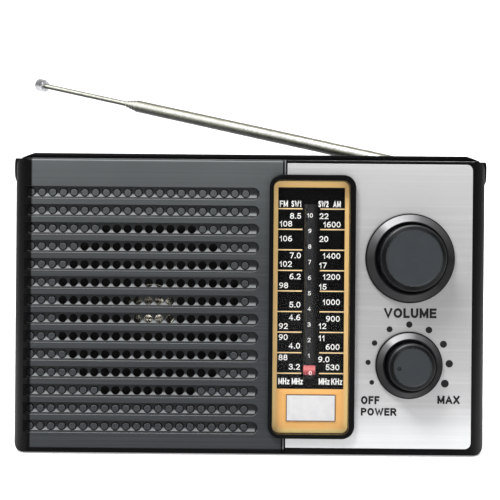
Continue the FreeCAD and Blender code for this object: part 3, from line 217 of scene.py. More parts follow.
def moulded_plastic(name, colour, worn, roughness=0.42, grain=0.12, radius=0.3 * MM, gloss=0.12):
    """Moulded plastic: fine pitting, cloudy gloss and paler, smoother edges."""
    finish = Finish(name)
    finish.rounded_edges(radius)
    cloud = finish.noise(60, detail=3)
    pits = finish.noise(2600, detail=2)
    paler = tuple(c * 1.35 for c in colour[:3]) + (1,)
    base = finish.blend(colour, paler, finish.spread(cloud, 0.35, 0.7, 0, 1))
    finish.set("Base Color", finish.blend(base, worn, finish.math("MULTIPLY", finish.edges(), 0.12)))
    finish.set("Roughness", finish.spread(cloud, 0.3, 0.7, roughness - 0.06, roughness + 0.08))
    finish.relief(pits, grain, 0.05 * MM)
    finish.set("Specular IOR Level", gloss)
    return finish


def front_case_finish():
    """Charcoal hairline panel on the flat front; plain black on the sides, rim and edges. On the panel,
    painted light: lighter toward the top, painted highlights on edges that face up, and painted shade deep
    in the grille's slots and on their lower lips.
    """
    finish = Finish("charcoal_panel")
    finish.rounded_edges(0.25 * MM)
    hairline = finish.noise(420, stretch=(0.012, 1, 9), detail=6, roughness=0.75)
    cloud = finish.noise(14, detail=2)
    # Painted light: the charcoal ramps lighter toward the top of the case, as if the light fell from above.
    painted_lit = finish.spread(finish.axis("Z"), CASE_LOW.z, CASE_HIGH.z, 0.0, 1.0)
    charcoal = finish.ramp(painted_lit, [
        (0.0, tinted(43, 46, 49)), (0.35, tinted(44, 47, 50)), (0.56, tinted(45, 48, 50)),
        (0.69, tinted(50, 53, 54)), (0.83, tinted(60, 64, 65)), (1.0, tinted(76, 79, 80))])
    charcoal = finish.blend(charcoal, tinted(100, 102, 104), finish.spread(hairline, 0.42, 0.75, 0.0, 0.3))
    charcoal = finish.blend(charcoal, tinted(40, 42, 44), finish.spread(cloud, 0.4, 0.7, 0.0, 0.2))
    # Painted highlight on edges that face up.
    painted_edge_highlight = finish.spread(finish.facing("Z", 0.3 * MM), 0.12, 0.42, 0.0, 1.0)
    charcoal = finish.blend(charcoal, tinted(126, 129, 130), finish.math("MULTIPLY", painted_edge_highlight, 0.9))
    depth = finish.axis("Y")
    # Painted shade: surfaces more than about a millimetre behind the face, in the slots and holes, darken.
    deep = finish.spread(depth, FACE_Y + 1.05 * MM, FACE_Y + 1.35 * MM, 0.0, 0.8)
    charcoal = finish.blend(charcoal, tinted(24, 26, 27), deep)
    # Painted shade: a dark band on upward-facing surfaces just behind the face, the lower lip of each slot.
    foot = finish.math("MULTIPLY", finish.spread(depth, FACE_Y + 0.8 * MM, FACE_Y + 0.7 * MM, 0.0, 1.0),
                       finish.spread(depth, FACE_Y + 0.2 * MM, FACE_Y + 0.3 * MM, 0.0, 1.0))
    foot = finish.math("MULTIPLY", foot, finish.spread(finish.facing("Z"), 0.2, 0.3, 0.0, 1.0))
    charcoal = finish.blend(charcoal, tinted(22, 23, 24), foot)
    trim = finish.blend(tinted(6, 6, 7), tinted(9, 9, 10), finish.spread(cloud, 0.4, 0.65, 0, 1))
    panel = finish.inside(-94.2 * MM, CASE_LOW.z + 2.4 * MM, 15.4 * MM, CASE_HIGH.z + 5 * MM, 0.3 * MM)
    grooves = finish.inside(GROOVE_LEFT, CASE_LOW.z, PLATE_LOW.x, CASE_HIGH.z, 0.05 * MM)
    ridge = finish.inside(RIDGE_LEFT, CASE_LOW.z, RIDGE_RIGHT, CASE_HIGH.z, 0.05 * MM)
    charcoal = finish.blend(charcoal, tinted(8, 8, 9), grooves)
    charcoal = finish.blend(charcoal, tinted(104, 105, 108), ridge)
    near_face = finish.spread(depth, FACE_Y + 2.2 * MM, FACE_Y + 1.8 * MM, 0, 1)
    panel = finish.math("MULTIPLY", panel, near_face)
    finish.set("Base Color", finish.blend(finish.blend(trim, charcoal, panel), grey(0.05),
                                          finish.math("MULTIPLY", finish.edges(0.3 * MM), 0.06)))
    finish.set("Roughness", finish.spread(panel, 0, 1, 0.42, 0.5))
    finish.set("Specular IOR Level", finish.spread(panel, 0, 1, 0.06, 0.2))
    finish.relief(hairline, 0.25, 0.03 * MM)
    finish.relief(finish.noise(2400, detail=2), 0.06, 0.04 * MM)
    return finish


def silver_plate_finish():
    """Brushed silver, with long level hairlines and a painted reflection in its tone, which lightens toward
    the foot.
    """
    finish = Finish("silver_plate", Metallic=0.3)
    finish.rounded_edges(0.2 * MM)
    brushed = finish.noise(700, stretch=(0.006, 1, 6), detail=6, roughness=0.8)
    broad = finish.noise(160, stretch=(0.05, 1, 3), detail=4)
    # Painted reflection: the tone by height stands in for the surround mirrored in the brushed metal,
    # lightest at the foot and darkest around the middle.
    height = finish.spread(finish.axis("Z"), PLATE_LOW.z, PLATE_HIGH.z, 0.0, 1.0)
    tone = finish.ramp(height, [(0.0, tinted(218, 220, 221)), (0.05, tinted(212, 213, 214)),
                                (0.1, tinted(196, 197, 198)), (0.15, tinted(181, 181, 182)),
                                (0.25, tinted(170, 170, 171)), (0.35, tinted(165, 165, 165)),
                                (0.54, tinted(158, 158, 158)), (0.69, tinted(170, 170, 170)),
                                (1.0, tinted(187, 187, 187))])
    tone = finish.blend(tone, tinted(138, 138, 139), finish.spread(brushed, 0.45, 0.8, 0.0, 0.25))
    tone = finish.blend(tone, tinted(240, 240, 240), finish.spread(broad, 0.5, 0.8, 0.0, 0.15))
    # Painted highlights along the edges that face up and to the left.
    painted_edge_highlight = finish.spread(finish.facing("Z", 0.35 * MM), 0.15, 0.5, 0.0, 1.0)
    painted_left_highlight = finish.spread(finish.facing("X", 0.35 * MM), -0.15, -0.5, 0.0, 0.8)
    tone = finish.blend(tone, grey(0.98), finish.math("MAXIMUM", painted_edge_highlight, painted_left_highlight))
    finish.set("Base Color", tone)
    finish.set("Roughness", finish.spread(brushed, 0.3, 0.7, 0.34, 0.5))
    finish.set("Anisotropic", 0.5)
    finish.relief(brushed, 0.18, 0.02 * MM)
    return finish


def printed(name, colour, roughness=0.5, flecks=0.15, gloss=0.2):
    """Ink on a flat part: slightly uneven cover."""
    finish = Finish(name)
    cover = finish.noise(900, detail=4)
    thin = tuple(c * (1 - flecks) for c in colour[:3]) + (1,)
    finish.set("Base Color", finish.blend(colour, thin, finish.spread(cover, 0.45, 0.7, 0, 1)))
    finish.set("Roughness", finish.spread(cover, 0.3, 0.7, roughness - 0.05, roughness + 0.1))
    finish.set("Specular IOR Level", gloss)
    finish.relief(cover, 0.05, 0.02 * MM)
    return finish


def dial_gold_finish():
    """The gold border of the scale, paler along its edges, around a black field and a grey channel."""
    finish = Finish("dial_gold")
    cloud = finish.noise(90, stretch=(1, 1, 0.5), detail=3)
    core = finish.inside(SCALE_LOW.x + 1.6 * MM, SCALE_LOW.z + 1.8 * MM, SCALE_HIGH.x - 1.5 * MM,
                         SCALE_HIGH.z - 1.6 * MM, 0.7 * MM)
    gold = finish.blend(tinted(255, 222, 146), tinted(252, 188, 104), core)
    above_foot = finish.spread(finish.axis("Z"), 27 * MM, 34 * MM, 0.0, 0.8)
    gold = finish.blend(gold, tinted(255, 212, 138), above_foot)
    gold = finish.blend(gold, tinted(255, 208, 138), finish.spread(cloud, 0.45, 0.7, 0.0, 0.4))
    dark = finish.inside(BLACK_LEFT, BLACK_LOW, BLACK_RIGHT, BLACK_HIGH, 0.05 * MM)
    tone = finish.blend(gold, tinted(6, 6, 7), dark)
    channel = finish.inside(SLOT_LEFT - 0.1 * MM, POINTER.z - 4 * MM, CHANNEL_RIGHT, CHANNEL_TOP, 0.1 * MM)
    mottle = finish.spread(finish.noise(1800, detail=3), 0.35, 0.65, 0, 1)
    felt = finish.blend(tinted(26, 26, 28), tinted(44, 44, 46), mottle)
    finish.set("Base Color", finish.blend(tone, felt, channel))
    finish.set("Roughness", finish.spread(cloud, 0.3, 0.7, 0.38, 0.5))
    finish.relief(finish.noise(1500, detail=3), 0.05, 0.02 * MM)
    return finish


def badge_finish():
    """A white plate with a thin dark brown outline."""
    finish = Finish("badge_white")
    cloud = finish.noise(300, detail=4)
    field = finish.inside(BADGE_LOW.x + 0.35 * MM, BADGE_LOW.z + 0.35 * MM, BADGE_HIGH.x - 0.35 * MM,
                          BADGE_HIGH.z - 0.35 * MM, 0.1 * MM)
    white = finish.blend(tinted(226, 226, 229), tinted(218, 218, 223), finish.spread(cloud, 0.4, 0.7, 0, 1))
    finish.set("Base Color", finish.blend(tinted(96, 62, 38), white, field))
    finish.set("Roughness", finish.spread(cloud, 0.3, 0.7, 0.3, 0.45))
    finish.relief(cloud, 0.05, 0.02 * MM)
    return finish


def polished_metal(name, colour, roughness=0.09, around=None, metal=1.0):
    """Plated metal: faint drawing lines, soft finger marks and duller spots."""
    finish = Finish(name, Metallic=metal)
    finish.rounded_edges(0.12 * MM)
    marks = finish.noise(220, detail=5, roughness=0.7)
    lines = finish.noise(1800, stretch=around or (1, 1, 0.05), detail=3)
    finish.set("Base Color", finish.blend(colour, tuple(c * 0.82 for c in colour[:3]) + (1,),
                                          finish.spread(marks, 0.4, 0.75, 0, 1)))
    finish.set("Roughness", finish.spread(marks, 0.35, 0.75, roughness * 0.7, roughness * 2.2))
    finish.relief(lines, 0.04, 0.01 * MM)
    return finish


def studio_chrome():
    """Bright plating with a painted reflection of a pale studio in its colour: a white band above a dark
    underside.
    """
    finish = polished_metal("chrome", grey(0.8), roughness=0.22, metal=0.3)
    # Painted reflection: the colour follows how far the surface faces up.
    upward = finish.spread(finish.facing("Z"), -1, 1, 0.0, 1.0)
    painted_reflection = finish.ramp(upward, [
        (0.0, tinted(8, 8, 5)), (0.27, tinted(18, 19, 13)), (0.4, tinted(100, 101, 88)),
        (0.5, tinted(212, 214, 204)), (0.66, tinted(238, 238, 230)), (0.77, tinted(196, 195, 180)),
        (0.85, tinted(96, 94, 80)), (1.0, tinted(46, 45, 36))])
    marks = finish.noise(160, detail=5, roughness=0.7)
    worn = finish.spread(marks, 0.45, 0.8, 0.0, 0.2)
    finish.set("Base Color", finish.blend(painted_reflection, tinted(128, 128, 116), worn))
    return finish


def knob_finish(name, centre, reach):
    """Turned black knob plastic: rings by radius, with painted light: a shade copy and a highlight copy of
    the ring colours, and a painted fan of highlight on the upper left.
    reach holds the radii of the face, the band, the ring, the waist and the cone."""
    finish = Finish(name)
    finish.rounded_edges(0.2 * MM)
    offset = finish.new("ShaderNodeVectorMath", operation="SUBTRACT")
    finish.links.new(finish.place, offset.inputs[0])
    offset.inputs[1].default_value = (centre.x, 0, centre.z)
    flat = finish.new("ShaderNodeVectorMath", operation="MULTIPLY")
    finish.links.new(offset.outputs[0], flat.inputs[0])
    flat.inputs[1].default_value = (1, 0, 1)
    radius = finish.new("ShaderNodeVectorMath", operation="LENGTH")
    finish.links.new(flat.outputs[0], radius.inputs[0])
    rings = finish.new("ShaderNodeTexNoise", noise_dimensions="1D")
    finish.links.new(radius.outputs["Value"], rings.inputs["W"])
    rings.inputs["Scale"].default_value = 5200
    rings.inputs["Detail"].default_value = 3
    turned = rings.outputs["Fac"]
    cloud = finish.noise(120, detail=3)
    share = finish.spread(radius.outputs["Value"], 0, 20 * MM, 0.0, 1.0)

    def painted_bands(levels):
        """Colour by radius: one level for each zone, with a short step between zones; the levels are painted
        highlights and shade on the rings.
        """
        stops = []
        for edge, (level, following) in zip(reach, zip(levels, levels[1:])):
            stops += [((edge - 0.12) / 20, tinted(*level)), ((edge + 0.12) / 20, tinted(*following))]
        return finish.ramp(share, stops)

    # Painted shade and painted light: one copy of the zone colours in shade and one in light, blended by the
    # painted fan of highlight.
    painted_shaded = painted_bands([(50, 54, 57), (40, 42, 44), (9, 10, 11), (22, 23, 24), (3, 3, 4), (12, 12, 13),
                    (3, 3, 4)])
    painted_lit = painted_bands([(50, 54, 57), (80, 82, 83), (16, 17, 18), (104, 106, 107), (5, 5, 6), (190, 190, 192),
                 (6, 6, 7)])
    # Painted highlight: a fan by the direction the surface faces, brightest on the upper left.
    azimuth = finish.math("ARCTAN2", finish.facing("Z"), finish.facing("X"))
    fan = finish.ramp(finish.spread(azimuth, -math.pi, math.pi, 0.0, 1.0), [
        (0.0, grey(0.04)), (0.12, grey(0.04)), (0.25, grey(0.1)), (0.38, grey(0.01)), (0.5, grey(0.01)),
        (0.58, grey(0.07)), (0.65, grey(0.12)), (0.71, grey(0.24)), (0.75, grey(0.6)),
        (0.79, grey(0.85)), (0.85, grey(0.95)), (0.885, grey(0.3)), (0.94, grey(0.12)), (1.0, grey(0.04))])
    tone = finish.blend(painted_shaded, painted_lit, finish.math("MULTIPLY", fan, finish.spread(turned, 0.2, 0.6, 0.8, 1.0)))
    tone = finish.blend(tone, tinted(70, 74, 77), finish.spread(cloud, 0.45, 0.8, 0.0, 0.12))
    finish.set("Base Color", tone)
    finish.set("Roughness", finish.spread(cloud, 0.3, 0.7, 0.38, 0.48))
    finish.set("Specular IOR Level", 0.1)
    finish.relief(turned, 0.15, 0.03 * MM)
    return finish


def clear_window_finish():
    """A clear sheet that mostly lets light pass and mirrors a little at a slant."""
    material = bpy.data.materials.new("clear_window")
    material.use_nodes = True
    nodes, links = material.node_tree.nodes, material.node_tree.links
    nodes.clear()
    out = nodes.new("ShaderNodeOutputMaterial")
    mix = nodes.new("ShaderNodeMixShader")
    clear = nodes.new("ShaderNodeBsdfTransparent")
    shine = nodes.new("ShaderNodeBsdfGlossy")
    rim = nodes.new("ShaderNodeFresnel")
    soft = nodes.new("ShaderNodeTexNoise")
    scratch = nodes.new("ShaderNodeMapRange")
    weight = nodes.new("ShaderNodeMath")
    rim.inputs["IOR"].default_value = 1.3
    soft.inputs["Scale"].default_value = 300
    scratch.inputs["To Min"].default_value = 0.04
    scratch.inputs["To Max"].default_value = 0.14
    weight.operation = "MULTIPLY"
    weight.inputs[1].default_value = 0.3
    clear.inputs["Color"].default_value = (0.985, 0.985, 0.98, 1)
    links.new(soft.outputs["Fac"], scratch.inputs["Value"])
    links.new(scratch.outputs["Result"], shine.inputs["Roughness"])
    links.new(rim.outputs["Fac"], weight.inputs[0])
    links.new(weight.outputs[0], mix.inputs["Fac"])
    links.new(clear.outputs[0], mix.inputs[1])
    links.new(shine.outputs[0], mix.inputs[2])
    links.new(mix.outputs[0], out.inputs["Surface"])
    return material


def pointer_finish():
    """Translucent red: pale pink at the top, deep red at the foot."""
    finish = Finish("pointer_red")
    low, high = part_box("dial_pointer")
    height = finish.spread(finish.axis("Z"), low.z, high.z, 0.0, 1.0)
    tone = finish.ramp(height, [(0.0, tinted(120, 34, 48)), (0.35, tinted(170, 52, 62)),
                                (0.6, tinted(222, 118, 118)), (1.0, tinted(205, 92, 96))])
    cloud = finish.noise(700, detail=3)
    milky = finish.spread(cloud, 0.5, 0.8, 0.0, 0.3)
    finish.set("Base Color", finish.blend(tone, tinted(240, 150, 150), milky))
    finish.set("Roughness", 0.25)
    finish.set("Coat Weight", 0.4)
    finish.relief(cloud, 0.05, 0.02 * MM)
    return finish


def fibrous(name, colour, roughness=0.85):
    """Pressed paper, cord or laminate: a matt, fibrous surface."""
    finish = Finish(name)
    fibre = finish.noise(900, stretch=(1, 1, 0.35), detail=6, roughness=0.75)
    finish.set("Base Color", finish.blend(colour, tuple(min(1, c * 1.9) for c in colour[:3]) + (1,),
                                          finish.spread(fibre, 0.4, 0.75, 0, 1)))
    finish.set("Roughness", finish.spread(fibre, 0.3, 0.7, roughness - 0.1, min(1, roughness + 0.1)))
    finish.relief(fibre, 0.4, 0.1 * MM)
    return finish


def channel_finish():
    """The dark mottled strip under the logging scale, fading to black on its right."""
    finish = Finish("channel_grey")
    mottle = finish.noise(1800, detail=3)
    tone = finish.blend(tinted(26, 26, 28), tinted(50, 50, 53), finish.spread(mottle, 0.35, 0.65, 0, 1))
    fade = finish.spread(finish.axis("X"), CHANNEL_RIGHT - 2.2 * MM, CHANNEL_RIGHT - 0.6 * MM, 0.0, 1.0)
    finish.set("Base Color", finish.blend(tone, tinted(9, 9, 10), fade))
    finish.set("Roughness", finish.spread(mottle, 0.3, 0.7, 0.6, 0.75))
    finish.set("Specular IOR Level", 0.15)
    finish.relief(mottle, 0.1, 0.03 * MM)
    return finish


def use(node, material):
    """Give a CAD node or a piece one material."""
    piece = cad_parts[node] if isinstance(node, str) else node
    piece.data.materials.clear()
    piece.data.materials.append(getattr(material, "material", material))


def finish_cad_nodes():
    """Every carried-over CAD node gets a material of its own kind."""
    black = moulded_plastic("satin_black", tinted(13, 13, 14), grey(0.06), gloss=0.16)
    handle = moulded_plastic("handle_black", tinted(4, 4, 5), grey(0.02), roughness=0.55,
                             radius=0.6 * MM, gloss=0.05)
    frame_black = moulded_plastic("surround_black", tinted(5, 5, 6), grey(0.02), roughness=0.4,
                                  grain=0.05, gloss=0.08)
    white = moulded_plastic("white_plastic", tinted(205, 202, 192), grey(0.8), roughness=0.5, gloss=0.3)
    chrome = studio_chrome()
    zinc = polished_metal("plated_steel", (0.55, 0.56, 0.58, 1), roughness=0.26)
    brass = polished_metal("brass", (0.74, 0.56, 0.25, 1), roughness=0.2)
    bright = polished_metal("spun_aluminium", (0.93, 0.88, 0.74, 1), roughness=0.16)
    copper = polished_metal("copper_winding", (0.66, 0.3, 0.14, 1), roughness=0.3, around=(1, 0.02, 0.02))
    sleeve = moulded_plastic("capacitor_sleeve", tinted(30, 40, 72), grey(0.4), roughness=0.3)
    jacket = moulded_plastic("cell_jacket", tinted(60, 64, 78), grey(0.5), roughness=0.3)
    ferrite = fibrous("sintered_ferrite", tinted(46, 44, 44), roughness=0.6)
    paper = fibrous("cone_paper", tinted(28, 26, 25))
    laminate = fibrous("board_laminate", tinted(72, 98, 46), roughness=0.45)
    cord = fibrous("waxed_cord", tinted(190, 176, 140))
    kinds = {
        front_case_finish(): ["front_case"],
        black: ["rear_case", "battery_door", "battery_tray", "earphone_socket", "supply_socket"],
        handle: ["handle"],
        frame_black: ["dial_surround", "band_switch_knob"],
        silver_plate_finish(): ["face_plate"],
        dial_gold_finish(): ["dial_scale"],
        badge_finish(): ["badge"],
        pointer_finish(): ["dial_pointer"],
        knob_finish("tuning_knob_black", TUNING, (11.4, 11.9, 13.45, 13.98, 15.8, 18.7)): ["tuning_knob"],
        knob_finish("volume_knob_black", VOLUME, (7.6, 8.1, 9.35, 9.9, 11.6, 13.9)): ["volume_knob"],
        chrome: ["antenna_base", "antenna_pin", "antenna_knuckle", "antenna_tube", "antenna_section_2",
                 "antenna_section_3", "antenna_section_4", "antenna_rod"],
        zinc: ["pulley_pins", "dial_bracket", "volume_potentiometer", "speaker_frame", "speaker_clips",
               "speaker_screws", "board_screws", "band_switch", "battery_spring", "battery_plates",
               "handle_pins", "case_screws", "antenna_tip"],
        brass: ["tuning_bushing", "tuning_shaft", "capacitor_shaft", "volume_shaft"],
        bright: ["dust_cap", "tuned_coil_cans"],
        copper: ["ferrite_coils", "voice_coil"],
        white: ["tuning_capacitor", "dial_drum", "lower_cord_pulley", "upper_cord_pulley",
                "ferrite_holders"],
        sleeve: ["board_capacitors"],
        jacket: ["battery_cells"],
        ferrite: ["ferrite_rod", "speaker_magnet"],
        paper: ["speaker_cone"],
        laminate: ["main_board"],
        cord: ["dial_cord"],
        clear_window_finish(): ["dial_lens"],
    }
    for material, nodes in kinds.items():
        for node in nodes:
            use(node, material)


# ---------------------------------------------------------------- meshes
def new_piece(name, mesh, material, body):
    """Put a mesh in the scene as a piece that rides on a body."""
    piece = bpy.data.objects.new(name, mesh)
    bpy.context.scene.collection.objects.link(piece)
    use(piece, material)
    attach(piece, body)
    return piece


def box_loop(left, low, right, high):
    return [(left, low), (right, low), (right, high), (left, high)]


def rounded_loop(left, low, right, high, radius, steps=6):
    """The points of a rounded rectangle, anticlockwise."""
    centres = [(right - radius, low + radius), (right - radius, high - radius),
               (left + radius, high - radius), (left + radius, low + radius)]
    points = []
    for quarter, (x, z) in enumerate(centres):
        for step in range(steps + 1):
            angle = math.pi / 2 * (quarter - 1 + step / steps)
            points.append((x + radius * math.cos(angle), z + radius * math.sin(angle)))
    return points


def round_loop(x, z, radius, steps=40):
    return [(x + radius * math.cos(2 * math.pi * i / steps), z + radius * math.sin(2 * math.pi * i / steps))
            for i in range(steps)]


def add_slab(shape, loop, front_y, thickness, taper=0.0):
    """A flat slab facing the front, from a loop of (x, z) points; taper narrows its front edge."""
    centre_x = sum(point[0] for point in loop) / len(loop)
    centre_z = sum(point[1] for point in loop) / len(loop)
    back, front = [], []
    for x, z in loop:
        away = Vector((x - centre_x, z - centre_z))
        inner = away * (1 - taper / max(away.length, 1e-9))
        back.append(shape.verts.new((x, front_y + thickness, z)))
        front.append(shape.verts.new((centre_x + inner.x, front_y, centre_z + inner.y)))
    count = len(loop)
    for i in range(count):
        k = (i + 1) % count
        shape.faces.new((back[i], back[k], front[k], front[i]))
    shape.faces.new(front)
    shape.faces.new(list(reversed(back)))


def finished_mesh(name, shape):
    bmesh.ops.recalc_face_normals(shape, faces=shape.faces)
    mesh = bpy.data.meshes.new(name)
    shape.to_mesh(mesh)
    shape.free()
    return mesh


def arc(x, z, across, up, start, end, steps=10):
    """Points on an ellipse between two angles in degrees."""
    turns = [math.radians(start + (end - start) * i / steps) for i in range(steps + 1)]
    return [(x + across * math.cos(turn), z + up * math.sin(turn)) for turn in turns]


RING = arc(0.5, 0.5, 0.5, 0.5, 0, 337.5, 15)


def counter(x, z, across, up):
    """A closed ring: the loop of a figure."""
    return arc(x, z, across, up, 0, 330, 11) + [None]


LETTER_E = [[(1, 1), (0, 1), (0, 0), (1, 0)], [(0, 0.52), (0.9, 0.52)]]
BOWL = [(0, 0), (0, 1), (0.55, 1)] + arc(0.6, 0.75, 0.4, 0.25, 80, -80, 6) + [(0.55, 0.5), (0, 0.5)]
# Each glyph: its width as a share of its height, then its strokes on a unit square; a stroke that
# ends with None is closed.
GLYPHS = {
    "0": (0.72, [RING + [None]]),
    "1": (0.5, [[(0.1, 0.7), (0.4, 0.8), (0.75, 1), (0.75, 0)]]),
    "2": (0.72, [arc(0.5, 0.7, 0.47, 0.3, 165, -35) + [(0.04, 0), (1, 0)]]),
    "3": (0.72, [arc(0.47, 0.76, 0.44, 0.24, 160, -90), arc(0.47, 0.27, 0.53, 0.27, 90, -160)]),
    "4": (0.76, [[(0.72, 0), (0.72, 1), (0, 0.28), (1, 0.28)]]),
    "5": (0.72, [[(0.92, 1), (0.2, 1), (0.08, 0.5)] + arc(0.48, 0.32, 0.5, 0.32, 125, -155)]),
    "6": (0.72, [counter(0.5, 0.29, 0.5, 0.29), [(0.85, 0.99), (0.4, 0.93), (0.1, 0.66), (0, 0.3)]]),
    "7": (0.7, [[(0, 1), (1, 1), (0.35, 0)]]),
    "8": (0.72, [counter(0.5, 0.77, 0.44, 0.23), counter(0.5, 0.27, 0.5, 0.27)]),
    "9": (0.72, [counter(0.5, 0.71, 0.5, 0.29), [(0.15, 0.01), (0.6, 0.07), (0.9, 0.34), (1, 0.7)]]),
    ".": (0.26, [[(0.1, 0.02), (0.9, 0.02)]]),
    "A": (0.9, [[(0, 0), (0.5, 1), (1, 0)], [(0.22, 0.3), (0.78, 0.3)]]),
    "E": (0.72, LETTER_E),
    "F": (0.7, [[(1, 1), (0, 1), (0, 0)], [(0, 0.5), (0.85, 0.5)]]),
    "H": (0.8, [[(0, 0), (0, 1)], [(1, 0), (1, 1)], [(0, 0.5), (1, 0.5)]]),
    "K": (0.82, [[(0, 0), (0, 1)], [(1, 1), (0.05, 0.4)], [(0.38, 0.6), (1, 0)]]),
    "L": (0.66, [[(0, 1), (0, 0), (1, 0)]]),
    "M": (0.94, [[(0, 0), (0, 1)], [(1, 0), (1, 1)], [(0, 1), (0.5, 0.15), (1, 1)]]),
    "O": (0.92, [RING + [None]]),
    "P": (0.78, [BOWL]),
    "R": (0.84, [BOWL, [(0.5, 0.5), (1, 0)]]),
    "S": (0.76, [arc(0.52, 0.76, 0.46, 0.24, 35, 250) + arc(0.48, 0.25, 0.5, 0.25, 70, -150)]),
    "U": (0.8, [[(0, 1)] + arc(0.5, 0.4, 0.5, 0.4, 180, 360) + [(1, 1)]]),
    "V": (0.88, [[(0, 1), (0.5, 0), (1, 1)]]),
    "W": (1.2, [[(0, 1), (0.25, 0), (0.5, 0.85), (0.75, 0), (1, 1)]]),
    "X": (0.84, [[(0, 0), (1, 1)], [(0, 1), (1, 0)]]),
    "z": (0.62, [[(0, 0.66), (1, 0.66), (0, 0), (1, 0)]]),
}
GAP = 0.12


def ribbon(shape, points, closed, width, front_y, back_y):
    """A pen stroke of even width along (x, z) points, as a thin slab with square ends."""
    path = [Vector(point) for point in points]
    half = width / 2
    if not closed:
        path[0] += (path[0] - path[1]).normalized() * half
        path[-1] += (path[-1] - path[-2]).normalized() * half
    rims = []
    for i, here in enumerate(path):
        before = here - path[i - 1] if closed or i > 0 else path[1] - here
        after = path[(i + 1) % len(path)] - here if closed or i < len(path) - 1 else before
        along = (before.normalized() + after.normalized()).normalized()
        across = Vector((-along.y, along.x))
        reach = min(half / max(abs(across.dot(Vector((-after.y, after.x)).normalized())), 0.3), half * 1.9)
        rims.append([shape.verts.new((spot.x, y, spot.y)) for spot, y in (
            (here + across * reach, front_y), (here - across * reach, front_y),
            (here - across * reach, back_y), (here + across * reach, back_y))])
    for i in range(len(rims) - (0 if closed else 1)):
        first, second = rims[i], rims[(i + 1) % len(rims)]
        for k in range(4):
            shape.faces.new((first[k], first[(k + 1) % 4], second[(k + 1) % 4], second[k]))
    if not closed:
        shape.faces.new(list(reversed(rims[0])))
        shape.faces.new(rims[-1])


def add_words(shape, words, height, x, z, front_y, align="LEFT", width=None, pen=0.18):
    """Printed lettering, placed by its side and by the middle of its height. width sets how wide
    the words are, and pen is the stroke's width as a share of the height."""
    natural = (sum(GLYPHS[letter][0] for letter in words) + GAP * (len(words) - 1)) * height
    squeeze = width / natural if width else 1.0
    left = {"LEFT": x, "RIGHT": x - natural * squeeze, "CENTER": x - natural * squeeze / 2}[align]
    stroke_width = pen * height
    layer = 0
    for letter in words:
        share, strokes = GLYPHS[letter]
        glyph_width = share * height * squeeze
        for stroke in strokes:
            closed = stroke[-1] is None
            points = [(left + stroke_width / 2 + across * (glyph_width - stroke_width),
                       z - height / 2 + stroke_width / 2 + up * (height - stroke_width))
                      for across, up in (stroke[:-1] if closed else stroke)]
            layer_y = front_y - 0.004 * MM * (layer % 4)
            ribbon(shape, points, closed, stroke_width, layer_y - 0.03 * MM, layer_y + 0.02 * MM)
            layer += 1
        left += glyph_width + GAP * height * squeeze


# ---------------------------------------------------------------- the dial's printing
LINE_TOP = 106.05 * MM
LINE_STEP = 8.9 * MM
RULE_HALF = 0.25 * MM
FIGURE_HEIGHT = 2.5 * MM
LOGGING_HEIGHT = 1.87 * MM
HEADINGS = [("FM", 12.7, 16.2), ("SW1", 17.7, 22.1), ("SW2", 29.4, 33.8), ("AM", 35.8, 39.1)]
UNITS = [("MHz", 12.7, 17.5), ("MHz", 18.5, 23.3), ("MHz", 30.2, 34.9), ("KHz", 35.6, 40.4)]
COLUMNS = {
    "FM": ("LEFT", 12.7, [("108", 99.3), ("106", 92.9), ("102", 81.9), ("98", 72.6), ("92", 55.0),
                          ("90", 50.2), ("88", 41.4)]),
    "SW1": ("RIGHT", 22.0, [("8.5", 102.7), ("7.0", 85.6), ("6.2", 76.5), ("5.0", 64.3), ("4.6", 58.8),
                            ("4.0", 46.5), ("3.2", 37.4)]),
    "SW2": ("LEFT", 29.9, [("22", 102.7), ("20", 92.8), ("17", 81.4), ("15", 72.1), ("12", 55.1),
                           ("11", 49.9), ("9.0", 40.7)]),
    "AM": ("RIGHT", 39.1, [("1600", 99.1), ("1400", 85.5), ("1200", 76.4), ("1000", 65.5), ("900", 58.3),
                           ("600", 46.1), ("530", 37.3)]),
}


def dial_black():
    """The black field of the scale, in two halves and two bridges around the pointer's slot."""
    shape = bmesh.new()
    front_y = SCALE_LOW.y - 0.06 * MM
    slot_low = POINTER.z - 4 * MM
    slot_high = CHANNEL_TOP
    outline = [
        rounded_loop(BLACK_LEFT, BLACK_LOW, SLOT_LEFT, BLACK_HIGH, 0.8 * MM),
        rounded_loop(CHANNEL_RIGHT, BLACK_LOW, BLACK_RIGHT, BLACK_HIGH, 0.8 * MM)]
    bridges = [(SLOT_LEFT - 1 * MM, BLACK_LOW, CHANNEL_RIGHT + 1 * MM, slot_low),
               (SLOT_LEFT - 1 * MM, slot_high, CHANNEL_RIGHT + 1 * MM, BLACK_HIGH)]
    for loop in outline:
        add_slab(shape, loop, front_y, 0.05 * MM)
    for left, low, right, high in bridges:
        add_slab(shape, box_loop(left, low, right, high), front_y + 0.005 * MM, 0.04 * MM)
    ink = printed("scale_black", tinted(8, 8, 9), roughness=0.5, flecks=0.3, gloss=0.04)
    new_piece("dial_black_field", finished_mesh("dial_black_field", shape), ink, "case")
    strip = bmesh.new()
    add_slab(strip, box_loop(CHANNEL_LEFT, slot_low, CHANNEL_RIGHT, slot_high), front_y, 0.05 * MM)
    felt = channel_finish()
    new_piece("dial_channel", finished_mesh("dial_channel", strip), felt, "case")


def dial_lines():
    """Nine gold rules on each side of the middle channel."""
    shape = bmesh.new()
    for number in range(9):
        z = LINE_TOP - number * LINE_STEP
        for left, right in ((BLACK_LEFT, 22.6 * MM), (30.3 * MM, BLACK_RIGHT)):
            rule = box_loop(left, z - RULE_HALF, right, z + RULE_HALF)
            add_slab(shape, rule, SCALE_LOW.y - 0.12 * MM, 0.08 * MM)
    ink = printed("rule_gold", tinted(255, 222, 168), flecks=0.1)
    new_piece("dial_rules", finished_mesh("dial_rules", shape), ink, "case")


